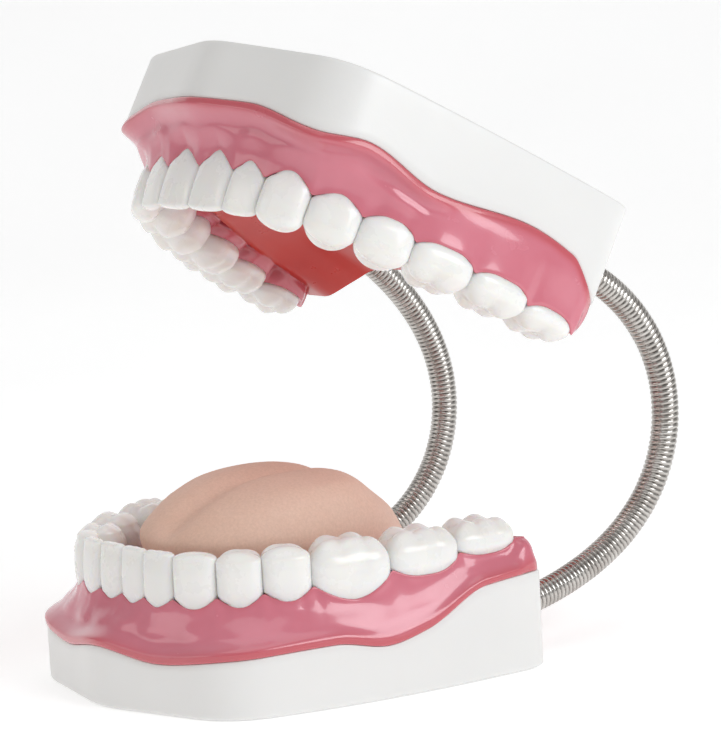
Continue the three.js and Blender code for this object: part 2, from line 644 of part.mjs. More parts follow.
// Everything of one jaw, in the jaw's own frame. The upper jaw is turned over about the y axis, so
// its left and right change places.
function buildJaw(jaw, table) {
  const group = new THREE.Group();
  const arch = new Arch(jaw);
  const outline = baseOutline(jaw);
  const distances = outlineDistances(outline);
  const teeth = teethOf(jaw, arch, table);
  const turned = jaw === UPPER ? -1 : 1;
  const sideName = (side) => (side * turned > 0 ? 'left' : 'right');

  const tongueFoot = jaw === UPPER ? PALATE_EDGE : DECK + GAP;
  const seat = baseSeat(jaw, outline, distances);
  let gum = gumBody(jaw, arch, outline, distances, tongueFoot).subtract(seat);
  for (const { row, side, bite, placed } of teeth) {
    gum = gum.subtract(toSolid(toothGeometry(row, bite, GAP).applyMatrix4(placed)));
    const crown = toothGeometry(row, bite).applyMatrix4(placed);
    group.add(named(`${jaw.label}_${sideName(side)}_${row[0]}`, crown, MATERIALS.tooth));
  }
  group.add(named(`${jaw.label}_gum`, toGeometry(gum), MATERIALS.gum));
  group.add(named(`${jaw.label}_base_shell`, toGeometry(baseShell(jaw, outline, distances)),
    MATERIALS.base));
  group.add(named(`${jaw.label}_base_plate`, basePlate(outline), MATERIALS.base));
  for (const side of [-1, 1]) {
    const label = `${jaw.label}_neck`;
    group.add(named(`${label}_stud_${sideName(side)}`, stud(jaw, side), MATERIALS.steel));
    group.add(named(`${label}_nut_${sideName(side)}`, lockNut(jaw, side), MATERIALS.steel));
  }
  if (jaw === UPPER) {
    const palate = toSolid(palateGeometry(arch)).subtract(seat);
    group.add(named('palate', toGeometry(palate), MATERIALS.palate));
  }
  if (jaw === LOWER) group.add(named('tongue', tongueGeometry(), MATERIALS.tongue));
  return group;
}

const model = new THREE.Group();

const lowerJaw = buildJaw(LOWER, LOWER_TEETH);
lowerJaw.position.y = LOWER_FRONT_Y;
model.add(lowerJaw);

// The upper jaw hangs on the far end of the goosenecks, turned over and tilted with them.
const upperJaw = buildJaw(UPPER, UPPER_TEETH);
upperJaw.rotation.y = Math.PI;
upperJaw.position.set(0, -UPPER.heel[1], NECK_UPPER_Z);
const neckEnd = new THREE.Group();
const end = neckAt(NECK_LENGTH);
neckEnd.position.copy(end.point);
neckEnd.rotation.x = end.heading - Math.PI;
neckEnd.add(upperJaw);
model.add(neckEnd);

const neckEnds = [0, ...NECK_BENDS, NECK_LENGTH];
for (const side of [-1, 1]) {
  ['lower', 'middle', 'upper'].forEach((part, i) => {
    const name = `gooseneck_${side > 0 ? 'left' : 'right'}_${part}`;
    model.add(named(name, neckPiece(side, neckEnds[i], neckEnds[i + 1]), MATERIALS.steel));
  });
}

export default model;
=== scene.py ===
"""Looks of the giant tooth-brushing demonstration jaws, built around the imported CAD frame.

Each jaw is shaped in its own frame in millimetres, as the CAD source draws it: z runs from the flat
face of the base (0) to the biting edge, y runs back from the contact between the two front teeth,
x runs sideways, and s is the distance along the arch of the teeth from the middle line. A placing
matrix then takes every finished shape into the row frame, in metres.
"""

import math
from types import SimpleNamespace

import bmesh
import bpy
import numpy as np
from mathutils import Matrix, Vector


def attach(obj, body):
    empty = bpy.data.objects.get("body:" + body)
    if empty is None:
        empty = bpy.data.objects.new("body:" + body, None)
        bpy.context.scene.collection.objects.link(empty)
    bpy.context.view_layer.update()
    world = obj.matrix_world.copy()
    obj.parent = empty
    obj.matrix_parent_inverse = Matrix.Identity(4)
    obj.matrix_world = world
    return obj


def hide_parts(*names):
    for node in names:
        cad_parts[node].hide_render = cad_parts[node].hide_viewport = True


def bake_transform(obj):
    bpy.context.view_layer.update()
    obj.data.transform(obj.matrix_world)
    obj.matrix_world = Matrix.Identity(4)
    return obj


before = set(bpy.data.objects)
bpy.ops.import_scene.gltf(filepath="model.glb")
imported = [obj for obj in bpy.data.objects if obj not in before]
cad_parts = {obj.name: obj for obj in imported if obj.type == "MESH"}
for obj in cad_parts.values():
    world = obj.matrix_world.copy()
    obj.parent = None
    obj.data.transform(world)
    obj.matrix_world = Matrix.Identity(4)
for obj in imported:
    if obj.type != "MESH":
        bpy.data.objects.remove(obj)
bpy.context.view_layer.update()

MM = 0.001
WELD = 2e-6  # points closer than this (m) are one point

# ---- Driving dimensions (mm), the same as the CAD part's ----

LOWER_FRONT_Y = -59
DECK = 31
RIM = 9.5
WALL = 4
CAVITY_TOP = 28.8
PLATE_THICKNESS = 2.6
PLATE_LEDGE = 1.8
GAP = 0.35

LOWER = {
    "label": "lower",
    "bite": 59, "fall": 0.025,
    "arch": [(0, 0), (27.6, 3), (52.4, 24), (71, 69), (77.8, 125.5)],
    "apex": (0, -17.5), "corner": (61.5, -1.5), "bow": (84, 60), "heel": (88.5, 135.5),
    "border": [(0, 23.5), (30, 19.5), (62, 22.5), (104, 24), (126, 20.5), (143, 24), (171, 36.5),
               (198, 38), (216, 37), (240, 31.6), (300, 31.6)],
    "papilla": [(0, 41.5), (60, 44.2), (120, 48), (160, 50.8), (172, 51)],
    "rim_roll": [(0, 2.0), (60, 1.6), (95, 0.6), (150, 0.5), (300, 0.5)],
    "heel_inset": 1.2, "heel_top": 0.35, "heel_round": (6.4, 6.4),
}
UPPER = {
    "label": "upper",
    "bite": 62, "fall": 0.034,
    "arch": [(0, 0), (37, 6), (64.3, 35), (83.7, 77.6), (89, 125.5)],
    "apex": (0, -20), "corner": (66, -2.5), "bow": (86, 62), "heel": (96, 129.5),
    "border": [(0, 24.5), (30, 23.5), (64, 29), (85, 25.7), (116, 31.3), (160, 25.8), (180, 28),
               (194, 38), (204, 42), (216, 40), (240, 31.6), (300, 31.6)],
    "papilla": [(0, 46.2), (60, 49.5), (120, 52.8), (175, 55.8), (190, 55)],
    "rim_roll": [(0, 2.6), (110, 2.2), (200, 1.6), (300, 0.5)],
    "heel_inset": 1.8, "heel_top": 0.25, "heel_round": (5.8, 9.5),
}

# Tooth rows from the middle line back: name, form, width along the arch, reach to the cheek and to
# the tongue side of the contact line, cusp rise above the contact, height of the gum at the neck,
# and the sharpness of the gum's scallop round the neck (1 is a V, 2 a round arch, 4 nearly square).
LOWER_TEETH = [
    ("central_incisor", "lower_incisor", 13.9, 4.2, 9.5, 0.8, 38.6, 1.4),
    ("lateral_incisor", "lower_incisor", 14.1, 4.4, 10, 0.8, 38.6, 1.25),
    ("canine", "lower_canine", 16.4, 6, 12, 0.9, 39.0, 1.9),
    ("first_premolar", "premolar", 16.7, 6.4, 13.5, 1.1, 39.4, 1.9),
    ("second_premolar", "premolar", 17.9, 6.6, 14.5, 2.4, 40.6, 1.9),
    ("first_molar", "molar", 31.2, 6.6, 19.5, 3.4, 38.5, 1.7),
    ("second_molar", "molar", 29.5, 6.4, 19.5, 3.6, 43.6, 2.6),
    ("third_molar", "molar", 27, 6, 18.5, 3.6, 47, 2.6),
]
UPPER_TEETH = [
    ("central_incisor", "upper_incisor", 20.2, 4.4, 12.5, 1.2, 39.3, 1.25),
    ("lateral_incisor", "upper_incisor", 15.2, 4.4, 12, 1.4, 42.0, 1.25),
    ("canine", "upper_canine", 18.4, 6.4, 14.5, 3.2, 42.6, 1.6),
    ("first_premolar", "upper_premolar", 20.2, 6.6, 16, 2.9, 45.0, 1.5),
    ("second_premolar", "upper_premolar", 21.2, 6.6, 17, 3.6, 46.6, 2.8),
    ("first_molar", "upper_molar", 25.0, 6.8, 21, 3.6, 48.4, 3.4),
    ("second_molar", "upper_molar", 25.5, 6.8, 20.5, 3.6, 49.6, 3.6),
    ("third_molar", "upper_molar", 24.2, 6.4, 19, 3.4, 51.2, 3.0),
]
TOOTH_OVERLAP = 1.0  # neighbouring crowns just merge, leaving a fine groove

NECK_X = 67
NECK_RADIUS = 5.6
NECK_LENGTH = 206
NECK_TURN = math.radians(149.4)
NECK_FLATTENING = 0.47
NECK_LOWER_Z = 20
NECK_UPPER_Z = 23.3
NECK_BENDS = [100, 184]
NECK_SWAY = {"left": 3.4, "right": -1.8}

# ---- Small tools ----


def smooth(t):
    t = np.clip(t, 0, 1)
    return t * t * (3 - 2 * t)


def mix(a, b, t):
    return a + (b - a) * t


def curve(pairs, at):
    """Value of a smooth line through (position, value) pairs that never overshoots them."""
    x, y = np.array(pairs, float).T
    h, d = np.diff(x), np.diff(y) / np.diff(x)
    slope = np.zeros_like(y)
    same = d[1:] * d[:-1] > 0
    slope[1:-1][same] = 2 * d[1:][same] * d[:-1][same] / (d[1:] + d[:-1])[same]
    at = np.clip(np.asarray(at, float), x[0], x[-1])
    i = np.clip(np.searchsorted(x, at, side="right") - 1, 0, len(x) - 2)
    t = (at - x[i]) / h[i]
    return (y[i] * (1 + 2 * t) * (1 - t) ** 2 + y[i + 1] * t**2 * (3 - 2 * t)
            + slope[i] * h[i] * t * (1 - t) ** 2 - slope[i + 1] * h[i] * t**2 * (1 - t))


def bump(distance, width):
    """Bell of height 1 at distance 0."""
    return np.exp(-((distance / width) ** 2))


def blur(values, steps):
    """Values along a line, evened out over a few neighbours."""
    reach = math.ceil(3 * steps)
    weights = bump(np.arange(-reach, reach + 1), steps * 1.414)
    padded = np.pad(values, reach, mode="edge")
    return np.convolve(padded, weights / weights.sum(), mode="valid")


def add(name, data):
    """A new object in the scene."""
    thing = bpy.data.objects.new(name, data)
    bpy.context.scene.collection.objects.link(thing)
    return thing


def mesh_object(name, points, faces, place, slot, fields=None):
    """A mesh piece from points in a jaw's frame, in mm, taken into the row frame by place."""
    mesh = bpy.data.meshes.new(name)
    homogeneous = np.c_[np.asarray(points, float), np.ones(len(points))]
    world = homogeneous @ np.array(place).T[:, :3] * MM
    mesh.from_pydata(world.tolist(), [], faces)
    for field, values in (fields or {}).items():
        attribute = mesh.attributes.new(field, "FLOAT", "POINT")
        attribute.data.foreach_set("value", np.asarray(values, np.float32))
    shape = bmesh.new()
    shape.from_mesh(mesh)
    bmesh.ops.remove_doubles(shape, verts=shape.verts, dist=WELD)
    bmesh.ops.recalc_face_normals(shape, faces=shape.faces)
    shape.to_mesh(mesh)
    shape.free()
    mesh.shade_smooth()
    mesh.materials.append(MATERIALS[slot])
    return add(name, mesh)


def jaw_piece(jaw, name, points, faces, slot, nodes, fields=None):
    """A mesh piece that rides on a jaw and stands for CAD nodes."""
    piece = mesh_object(name, points, faces, jaw["place"], slot, fields)
    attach(piece, jaw["body"])
    if nodes:
        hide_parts(*nodes)
    return piece


def sharpen(piece, degrees):
    """Keeps the edges above that angle crisp under smooth shading."""
    piece.data.set_sharp_from_angle(angle=math.radians(degrees))


def skin(rings, capped=True):
    """Points and faces of a body through equal closed rings. A cap is a fan round the ring's middle."""
    rings = np.asarray(rings, float)
    count, size = rings.shape[:2]
    points = rings.reshape(-1, 3).tolist()
    faces = []
    for r in range(count - 1):
        for i in range(size):
            j = (i + 1) % size
            faces.append((r * size + i, r * size + j, (r + 1) * size + j, (r + 1) * size + i))
    for ring in (0, count - 1) if capped else ():
        points.append(rings[ring].mean(0).tolist())
        hub = len(points) - 1
        faces += [(ring * size + i, ring * size + (i + 1) % size, hub) for i in range(size)]
    return points, faces


# ---- The arch of the teeth and the outline of the base ----


def lengths_along(line):
    """Distance of each point of a line from its start."""
    return np.r_[0, np.cumsum(np.hypot(*np.diff(line, axis=0).T))]


class Arch:
    """Curve along the contacts between the teeth, a centripetal Catmull-Rom line."""

    STEPS = 80  # points in each stretch
    LOOK = 0.5  # half the length over which a direction is taken

    def __init__(self, jaw):
        right = [np.array(p, float) for p in jaw["arch"]]
        left = [p * (-1, 1) for p in right[:0:-1]]
        knots = left + right
        knots = [2 * knots[0] - knots[1], *knots, 2 * knots[-1] - knots[-2]]
        spans = [self.span(*four) for four in zip(knots, knots[1:], knots[2:], knots[3:])]
        self.xy = np.vstack([*spans, knots[-2]])
        lengths = lengths_along(self.xy)
        self.half = lengths[-1] / 2
        self.s = lengths - self.half

    def span(self, a, b, c, d):
        """The stretch from b to c, with a before it and d after it."""
        d0, d1, d2 = (np.linalg.norm(q - p) ** 0.5 for p, q in ((a, b), (b, c), (c, d)))
        m1 = ((b - a) / d0 - (c - a) / (d0 + d1) + (c - b) / d1) * d1
        m2 = ((c - b) / d1 - (d - b) / (d1 + d2) + (d - c) / d2) * d1
        t = (np.arange(self.STEPS) / self.STEPS)[:, None]
        return ((2 * t**3 - 3 * t**2 + 1) * b + (t**3 - 2 * t**2 + t) * m1
                + (3 * t**2 - 2 * t**3) * c + (t**3 - t**2) * m2)

    def at(self, s):
        """Points, directions along the arch and outward sides at signed distances s."""
        s = np.atleast_1d(np.asarray(s, float))
        inside = np.clip(s, -self.half, self.half)
        ahead = np.clip(inside + self.LOOK, None, self.half)
        behind = np.clip(inside - self.LOOK, -self.half, None)
        sample = lambda v: np.c_[np.interp(v, self.s, self.xy[:, 0]), np.interp(v, self.s, self.xy[:, 1])]
        tangent = sample(ahead) - sample(behind)
        tangent /= np.linalg.norm(tangent, axis=1)[:, None]
        point = sample(inside) + tangent * (s - inside)[:, None]
        return point, tangent, np.c_[tangent[:, 1], -tangent[:, 0]]


OUTLINE_STEP = 1.2
APEX_ROUND, CORNER_ROUND, HEEL_ROUND = 14, 17, 11
APEX_BLUNT = 1.3  # the rounding holds the front this far behind the apex
SAME_POINT, PARALLEL = 1e-6, 1e-9


def base_outline(jaw):
    """Closed outline of a base, evenly spaced from the apex, and each point's distance from it."""
    apex, corner, bow, heel = (np.array(jaw[key], float) for key in ("apex", "corner", "bow", "heel"))
    back = np.array([0, heel[1]])
    toward = lambda a, b, reach: a + (b - a) / np.linalg.norm(b - a) * reach
    t = np.linspace(0, 1, 60)[:, None]
    bend = lambda a, b, c: (1 - t) ** 2 * a + 2 * t * (1 - t) * b + t**2 * c
    nose = toward(apex, corner, APEX_ROUND)
    before_corner, after_corner = toward(corner, apex, CORNER_ROUND), toward(corner, bow, CORNER_ROUND)
    before_heel, after_heel = toward(heel, bow, HEEL_ROUND), toward(heel, back, HEEL_ROUND)
    right = np.vstack([
        bend(apex + (0, APEX_BLUNT), apex + (APEX_ROUND * 0.45, APEX_BLUNT + 0.2), nose),
        bend(before_corner, corner, after_corner), bend(after_corner, bow, before_heel),
        bend(before_heel, heel, after_heel), back])
    keep = np.r_[True, np.hypot(*np.diff(right, axis=0).T) > SAME_POINT]
    right = right[keep]
    lengths = lengths_along(right)
    count = round(lengths[-1] / OUTLINE_STEP)
    distance = np.linspace(0, lengths[-1], count + 1)
    half = np.c_[np.interp(distance, lengths, right[:, 0]), np.interp(distance, lengths, right[:, 1])]
    outline = np.vstack([half, (half[1:-1] * (-1, 1))[::-1]])
    return outline, np.r_[distance, distance[1:-1][::-1]]


def inset(outline, distance):
    """The outline moved inwards by scaling it about its middle."""
    low, high = outline.min(0), outline.max(0)
    middle = (low + high) / 2
    return middle + (outline - middle) * (1 - 2 * distance / (high - low))


def meet_outline(outline, distances, start, direction):
    """Where a ray inside the outline meets it: its length, and the distance from the apex there."""
    a, b = outline, np.roll(outline, -1, axis=0)
    edge = b - a
    cross = direction[0] * edge[:, 1] - direction[1] * edge[:, 0]
    cross = np.where(np.abs(cross) < PARALLEL, PARALLEL, cross)
    d = a - start
    reach = (d[:, 0] * edge[:, 1] - d[:, 1] * edge[:, 0]) / cross
    t = (d[:, 0] * direction[1] - d[:, 1] * direction[0]) / cross
    hit = (reach > 0) & (t >= -SAME_POINT) & (t <= 1 + SAME_POINT)
    k = np.flatnonzero(hit)[np.argmin(reach[hit])]
    return reach[k], mix(distances[k], np.roll(distances, -1)[k], t[k])


# ---- Goosenecks' centre line and the place of each jaw ----

NECK_STEPS = 1200


def neck_line():
    """Centre line of a gooseneck in the row frame: y, z and heading at even steps of its length."""
    u = np.linspace(0, 1, NECK_STEPS + 1)
    turn = lambda v: NECK_TURN * (v - NECK_FLATTENING * np.sin(2 * np.pi * v) / (2 * np.pi))
    middle = turn((u[1:] + u[:-1]) / 2)
    step = NECK_LENGTH / NECK_STEPS
    y = LOWER_FRONT_Y + LOWER["heel"][1] + np.r_[0, np.cumsum(step * np.cos(middle))]
    z = NECK_LOWER_Z + np.r_[0, np.cumsum(step * np.sin(middle))]
    return y, z, turn(u)


NECK_Y, NECK_Z, NECK_HEADING = neck_line()


def neck_at(distance):
    """y, z and heading of a gooseneck's centre line at a distance along it."""
    steps = np.arange(NECK_STEPS + 1) * NECK_LENGTH / NECK_STEPS
    return [np.interp(distance, steps, values) for values in (NECK_Y, NECK_Z, NECK_HEADING)]


LOWER["place"] = Matrix.Translation((0, LOWER_FRONT_Y, 0))
UPPER["place"] = (
    Matrix.Translation((0, NECK_Y[-1], NECK_Z[-1]))
    @ Matrix.Rotation(NECK_HEADING[-1] - math.pi, 4, "X")
    @ Matrix.Translation((0, -UPPER["heel"][1], NECK_UPPER_Z))
    @ Matrix.Rotation(math.pi, 4, "Y")
)
for jaw, rows in ((LOWER, LOWER_TEETH), (UPPER, UPPER_TEETH)):
    jaw["curve"] = Arch(jaw)
    jaw["outline"], jaw["distances"] = base_outline(jaw)
    jaw["rows"] = rows
    jaw["contacts"] = np.r_[0, np.cumsum([row[2] for row in rows])]
    jaw["body"] = jaw["label"] + "_jaw"


# ---- Materials ----


class Look:
    """A procedural material under construction, round one Principled shader."""

    def __init__(self, name, **sockets):
        self.material = bpy.data.materials.new(name)
        self.material.use_nodes = True
        self.nodes = self.material.node_tree.nodes
        self.links = self.material.node_tree.links
        self.shader = self.nodes["Principled BSDF"]
        self.fill(self.shader, sockets)
        self.place = self.nodes.new("ShaderNodeTexCoord").outputs["Object"]
        self.height = None

    def fill(self, node, values):
        for socket, value in values.items():
            node.inputs[socket.replace("_", " ")].default_value = value

    def node(self, kind, **values):
        node = self.nodes.new("ShaderNode" + kind)
        self.fill(node, values)
        return node

    def noise(self, scale, detail, rough=0.55, stretch=None):
        node = self.node("TexNoise", Scale=scale, Detail=detail, Roughness=rough)
        source = self.place
        if stretch:
            mapping = self.node("Mapping", Scale=stretch)
            self.links.new(source, mapping.inputs["Vector"])
            source = mapping.outputs["Vector"]
        self.links.new(source, node.inputs["Vector"])
        return node.outputs["Fac"]

    def field(self, name):
        node = self.node("Attribute")
        node.attribute_name = name
        return node.outputs["Fac"]

    def ramp(self, factor, *stops):
        node = self.node("ValToRGB")
        elements = node.color_ramp.elements
        while len(elements) < len(stops):
            elements.new(0.5)
        for element, (position, colour) in zip(elements, stops):
            element.position = position
            element.color = (*colour, 1)
        self.links.new(factor, node.inputs["Fac"])
        return node.outputs["Color"]

    def clouds(self, scale, detail, dark, pale):
        """Soft clouds from a dark to a pale colour."""
        return self.ramp(self.noise(scale, detail), (0.3, dark), (0.7, pale))

    def blend(self, factor, a, b, mode="MIX"):
        """Mixes colours a and b, each a socket or a colour, by a factor that is a socket or a number."""
        node = self.node("Mix")
        node.data_type = "RGBA"
        node.blend_type = mode
        for socket, value in ((node.inputs["Factor"], factor), (node.inputs[6], a), (node.inputs[7], b)):
            if isinstance(value, bpy.types.NodeSocket):
                self.links.new(value, socket)
            elif isinstance(value, tuple):
                socket.default_value = (*value, 1)
            else:
                socket.default_value = value
        return node.outputs[2]

    def colour(self, socket):
        self.links.new(socket, self.shader.inputs["Base Color"])

    def roughness(self, low, high, *noise):
        """Roughness that wanders from low to high with a noise."""
        factor = self.noise(*noise)
        node = self.node("MapRange", From_Min=0.3, From_Max=0.7, To_Min=low, To_Max=high)
        self.links.new(factor, node.inputs["Value"])
        self.links.new(node.outputs["Result"], self.shader.inputs["Roughness"])

    def relief(self, strength, distance, *noise):
        """Adds a noise as fine relief of that depth in metres to the surface."""
        socket = self.noise(*noise)
        node = self.node("Bump", Strength=strength, Distance=distance)
        self.links.new(socket, node.inputs["Height"])
        if self.height:
            self.links.new(self.height, node.inputs["Normal"])
        self.height = node.outputs["Normal"]
        self.links.new(self.height, self.shader.inputs["Normal"])


def white_plastic():
    """Moulded white plastic of the bases: semi-gloss, faintly clouded, with a fine orange-peel skin."""
    look = Look("white_plastic", Subsurface_Weight=0.08, Subsurface_Scale=0.004, Coat_Weight=0.12,
                Coat_Roughness=0.25, Subsurface_Radius=(1.0, 0.8, 0.6))
    cloud = look.clouds(9, 4, (0.76, 0.755, 0.74), (0.81, 0.805, 0.79))
    scuff = look.ramp(look.noise(60, 6, 0.7), (0.62, (1, 1, 1)), (0.78, (0.93, 0.92, 0.9)))
    look.colour(look.blend(0.6, cloud, scuff, "MULTIPLY"))
    look.roughness(0.30, 0.44, 45, 4)
    look.relief(0.25, 0.0002, 260, 3)
    look.relief(0.2, 0.0006, 18, 2)
    return look.material


def pink_gum():
    """Glossy pink of the gums: redder on the rolled border and in the hollows, paler on the bulges."""
    look = Look("pink_gum", Subsurface_Weight=0.12, Subsurface_Scale=0.003, Coat_Weight=0.55,
                Coat_Roughness=0.06, Subsurface_Radius=(1.0, 0.35, 0.3))
    body = look.clouds(22, 4, (0.60, 0.155, 0.205), (0.67, 0.20, 0.26))
    shade = look.ramp(look.field("rim"), (0.0, (0.63, 0.175, 0.23)), (0.6, (0.60, 0.13, 0.165)),
                      (1.0, (0.55, 0.095, 0.12)))
    look.colour(look.blend(look.field("rim"), body, shade))
    look.roughness(0.16, 0.28, 70, 4)
    look.relief(0.12, 0.0003, 120, 4)
    look.relief(0.1, 0.0010, 30, 2)
    return look.material


def red_palate():
    """Glossy orange-red of the palate, with slow darker clouds."""
    look = Look("red_palate", Coat_Weight=0.12, Coat_Roughness=0.16, Specular_IOR_Level=0.35)
    look.colour(look.clouds(26, 4, (0.47, 0.012, 0.006), (0.54, 0.022, 0.010)))
    look.roughness(0.24, 0.36, 60, 4)
    look.relief(0.06, 0.0008, 40, 2)
    return look.material


def tooth_resin():
    """Ivory white of the teeth: warmer at the neck, with painted shade in the grooves, clean and glossy on
    the crown.
    """
    look = Look("tooth_resin", Subsurface_Weight=0.45, Subsurface_Scale=0.006, Coat_Weight=0.35,
                Coat_Roughness=0.12, Subsurface_Radius=(1.0, 0.75, 0.5))
    crown = look.clouds(16, 2, (0.85, 0.845, 0.82), (0.88, 0.875, 0.85))
    # painted shade: the grooves between the cusps are tinted a darker tan brown
    crown_with_groove_shade = look.blend(look.field("groove"), crown, (0.66, 0.56, 0.46))
    look.colour(look.blend(look.field("neck"), crown_with_groove_shade, (0.78, 0.72, 0.62)))
    look.roughness(0.22, 0.34, 90, 4)
    look.relief(0.2, 0.0003, 150, 3)
    look.relief(0.25, 0.0008, 25, 2)
    return look.material


def tongue_vinyl():
    """Matte flesh-coloured vinyl with a fine skin grain."""
    look = Look("tongue_vinyl", Subsurface_Weight=0.1, Subsurface_Scale=0.004, Specular_IOR_Level=0.3,
                Subsurface_Radius=(1.0, 0.5, 0.3))
    tone = look.clouds(14, 4, (0.84, 0.57, 0.45), (0.88, 0.63, 0.52))
    grain = look.ramp(look.noise(900, 4, 0.7), (0.3, (0.88, 0.86, 0.84)), (0.7, (1, 1, 1)))
    look.colour(look.blend(1.0, tone, grain, "MULTIPLY"))
    look.roughness(0.6, 0.78, 300, 3)
    look.relief(0.5, 0.0003, 1100, 4, 0.7)
    look.relief(0.3, 0.0006, 60, 3)
    return look.material


def plated_steel():
    """Bright plated steel of the goosenecks: painted dark brown shade in the grooves between the turns,
    fine scratches.
    """
    look = Look("plated_steel", Metallic=1.0)
    bright = look.clouds(130, 4, (0.46, 0.43, 0.40), (0.64, 0.62, 0.59))
    # painted shade and dark reflection: the grooves between the coil's turns are coloured almost
    # black-brown
    look.colour(look.blend(look.field("groove"), bright, (0.055, 0.04, 0.03)))
    look.roughness(0.16, 0.34, 400, 4, 0.6, (1, 1, 6))
    look.relief(0.15, 0.0002, 700, 3)
    return look.material


def floor_paper():
    """Matte white backdrop paper, glowing a little so that it stays white in the distance."""
    look = Look("floor_paper", Roughness=0.95, Specular_IOR_Level=0.1, Emission_Color=(1, 1, 1, 1),
                Emission_Strength=0.35)
    look.colour(look.clouds(3, 3, (0.90, 0.90, 0.90), (0.93, 0.93, 0.93)))
    return look.material


MATERIALS = {
    "base_white": white_plastic(), "gum_pink": pink_gum(), "palate_red": red_palate(),
    "tooth_resin": tooth_resin(), "tongue_vinyl": tongue_vinyl(), "steel": plated_steel(),
}

# ---- Bases ----

EDGE_ROUND = 1.5
RIM_ROUND = 1.2
WALL_ROWS, CORNER_ROWS = 10, 7
PLATE_CHAMFER = 0.5
CRISP, CRISP_PALATE, CRISP_COIL = 40, 60, 65  # angles above which an edge stays sharp, in degrees


def base_shell(jaw):
    """White shell: rim under the gum, rounded lower edge, ledge for the plate, hollow inside."""
    outline = jaw["outline"]
    level = lambda plan, z: np.c_[plan, np.broadcast_to(z, len(plan))]
    top = curve(jaw["border"], jaw["distances"]) - 0.1
    wall_top = top - RIM_ROUND
    corner = [(EDGE_ROUND * (1 - math.cos(a)), EDGE_ROUND * (1 - math.sin(a)))
              for a in np.linspace(0, math.pi / 2, CORNER_ROWS)]
    rings = [
        level(inset(outline, RIM - 1), DECK),
        level(inset(outline, RIM - 1), np.minimum(top, DECK) - 0.01),
        level(inset(outline, RIM - 1.5), top),
        level(inset(outline, 1.5), top),
        level(inset(outline, 0.4), top - 0.3),
        level(outline, wall_top),
    ]
    for k in range(1, WALL_ROWS):
        rings.append(level(outline, mix(wall_top, EDGE_ROUND, k / WALL_ROWS)))
    rings += [level(inset(outline, x), z) for x, z in corner]
    rings += [
        level(inset(outline, PLATE_LEDGE - 0.1), 0.15),
        level(inset(outline, PLATE_LEDGE), PLATE_THICKNESS + GAP),
        level(inset(outline, WALL), PLATE_THICKNESS + GAP),
        level(inset(outline, WALL + 1), CAVITY_TOP - 10),
        level(inset(outline, WALL + 2), CAVITY_TOP),
    ]
    points, faces = skin(rings)
    label = jaw["label"]
    sharpen(jaw_piece(jaw, f"{label}_base", points, faces, "base_white", [f"{label}_base_shell"]), CRISP)


def base_plate(jaw):
    """Plate that closes the hollow base, with a small chamfer round its visible face."""
    outline = inset(jaw["outline"], PLATE_LEDGE + GAP)
    rings = [np.c_[inset(outline, x), np.full(len(outline), z)]
             for x, z in ((2, 0), (PLATE_CHAMFER, 0), (0, PLATE_CHAMFER), (0, PLATE_THICKNESS))]
    points, faces = skin(rings)
    label = jaw["label"]
    sharpen(jaw_piece(jaw, f"{label}_plate", points, faces, "base_white", [f"{label}_base_plate"]), CRISP)


# ---- Teeth ----

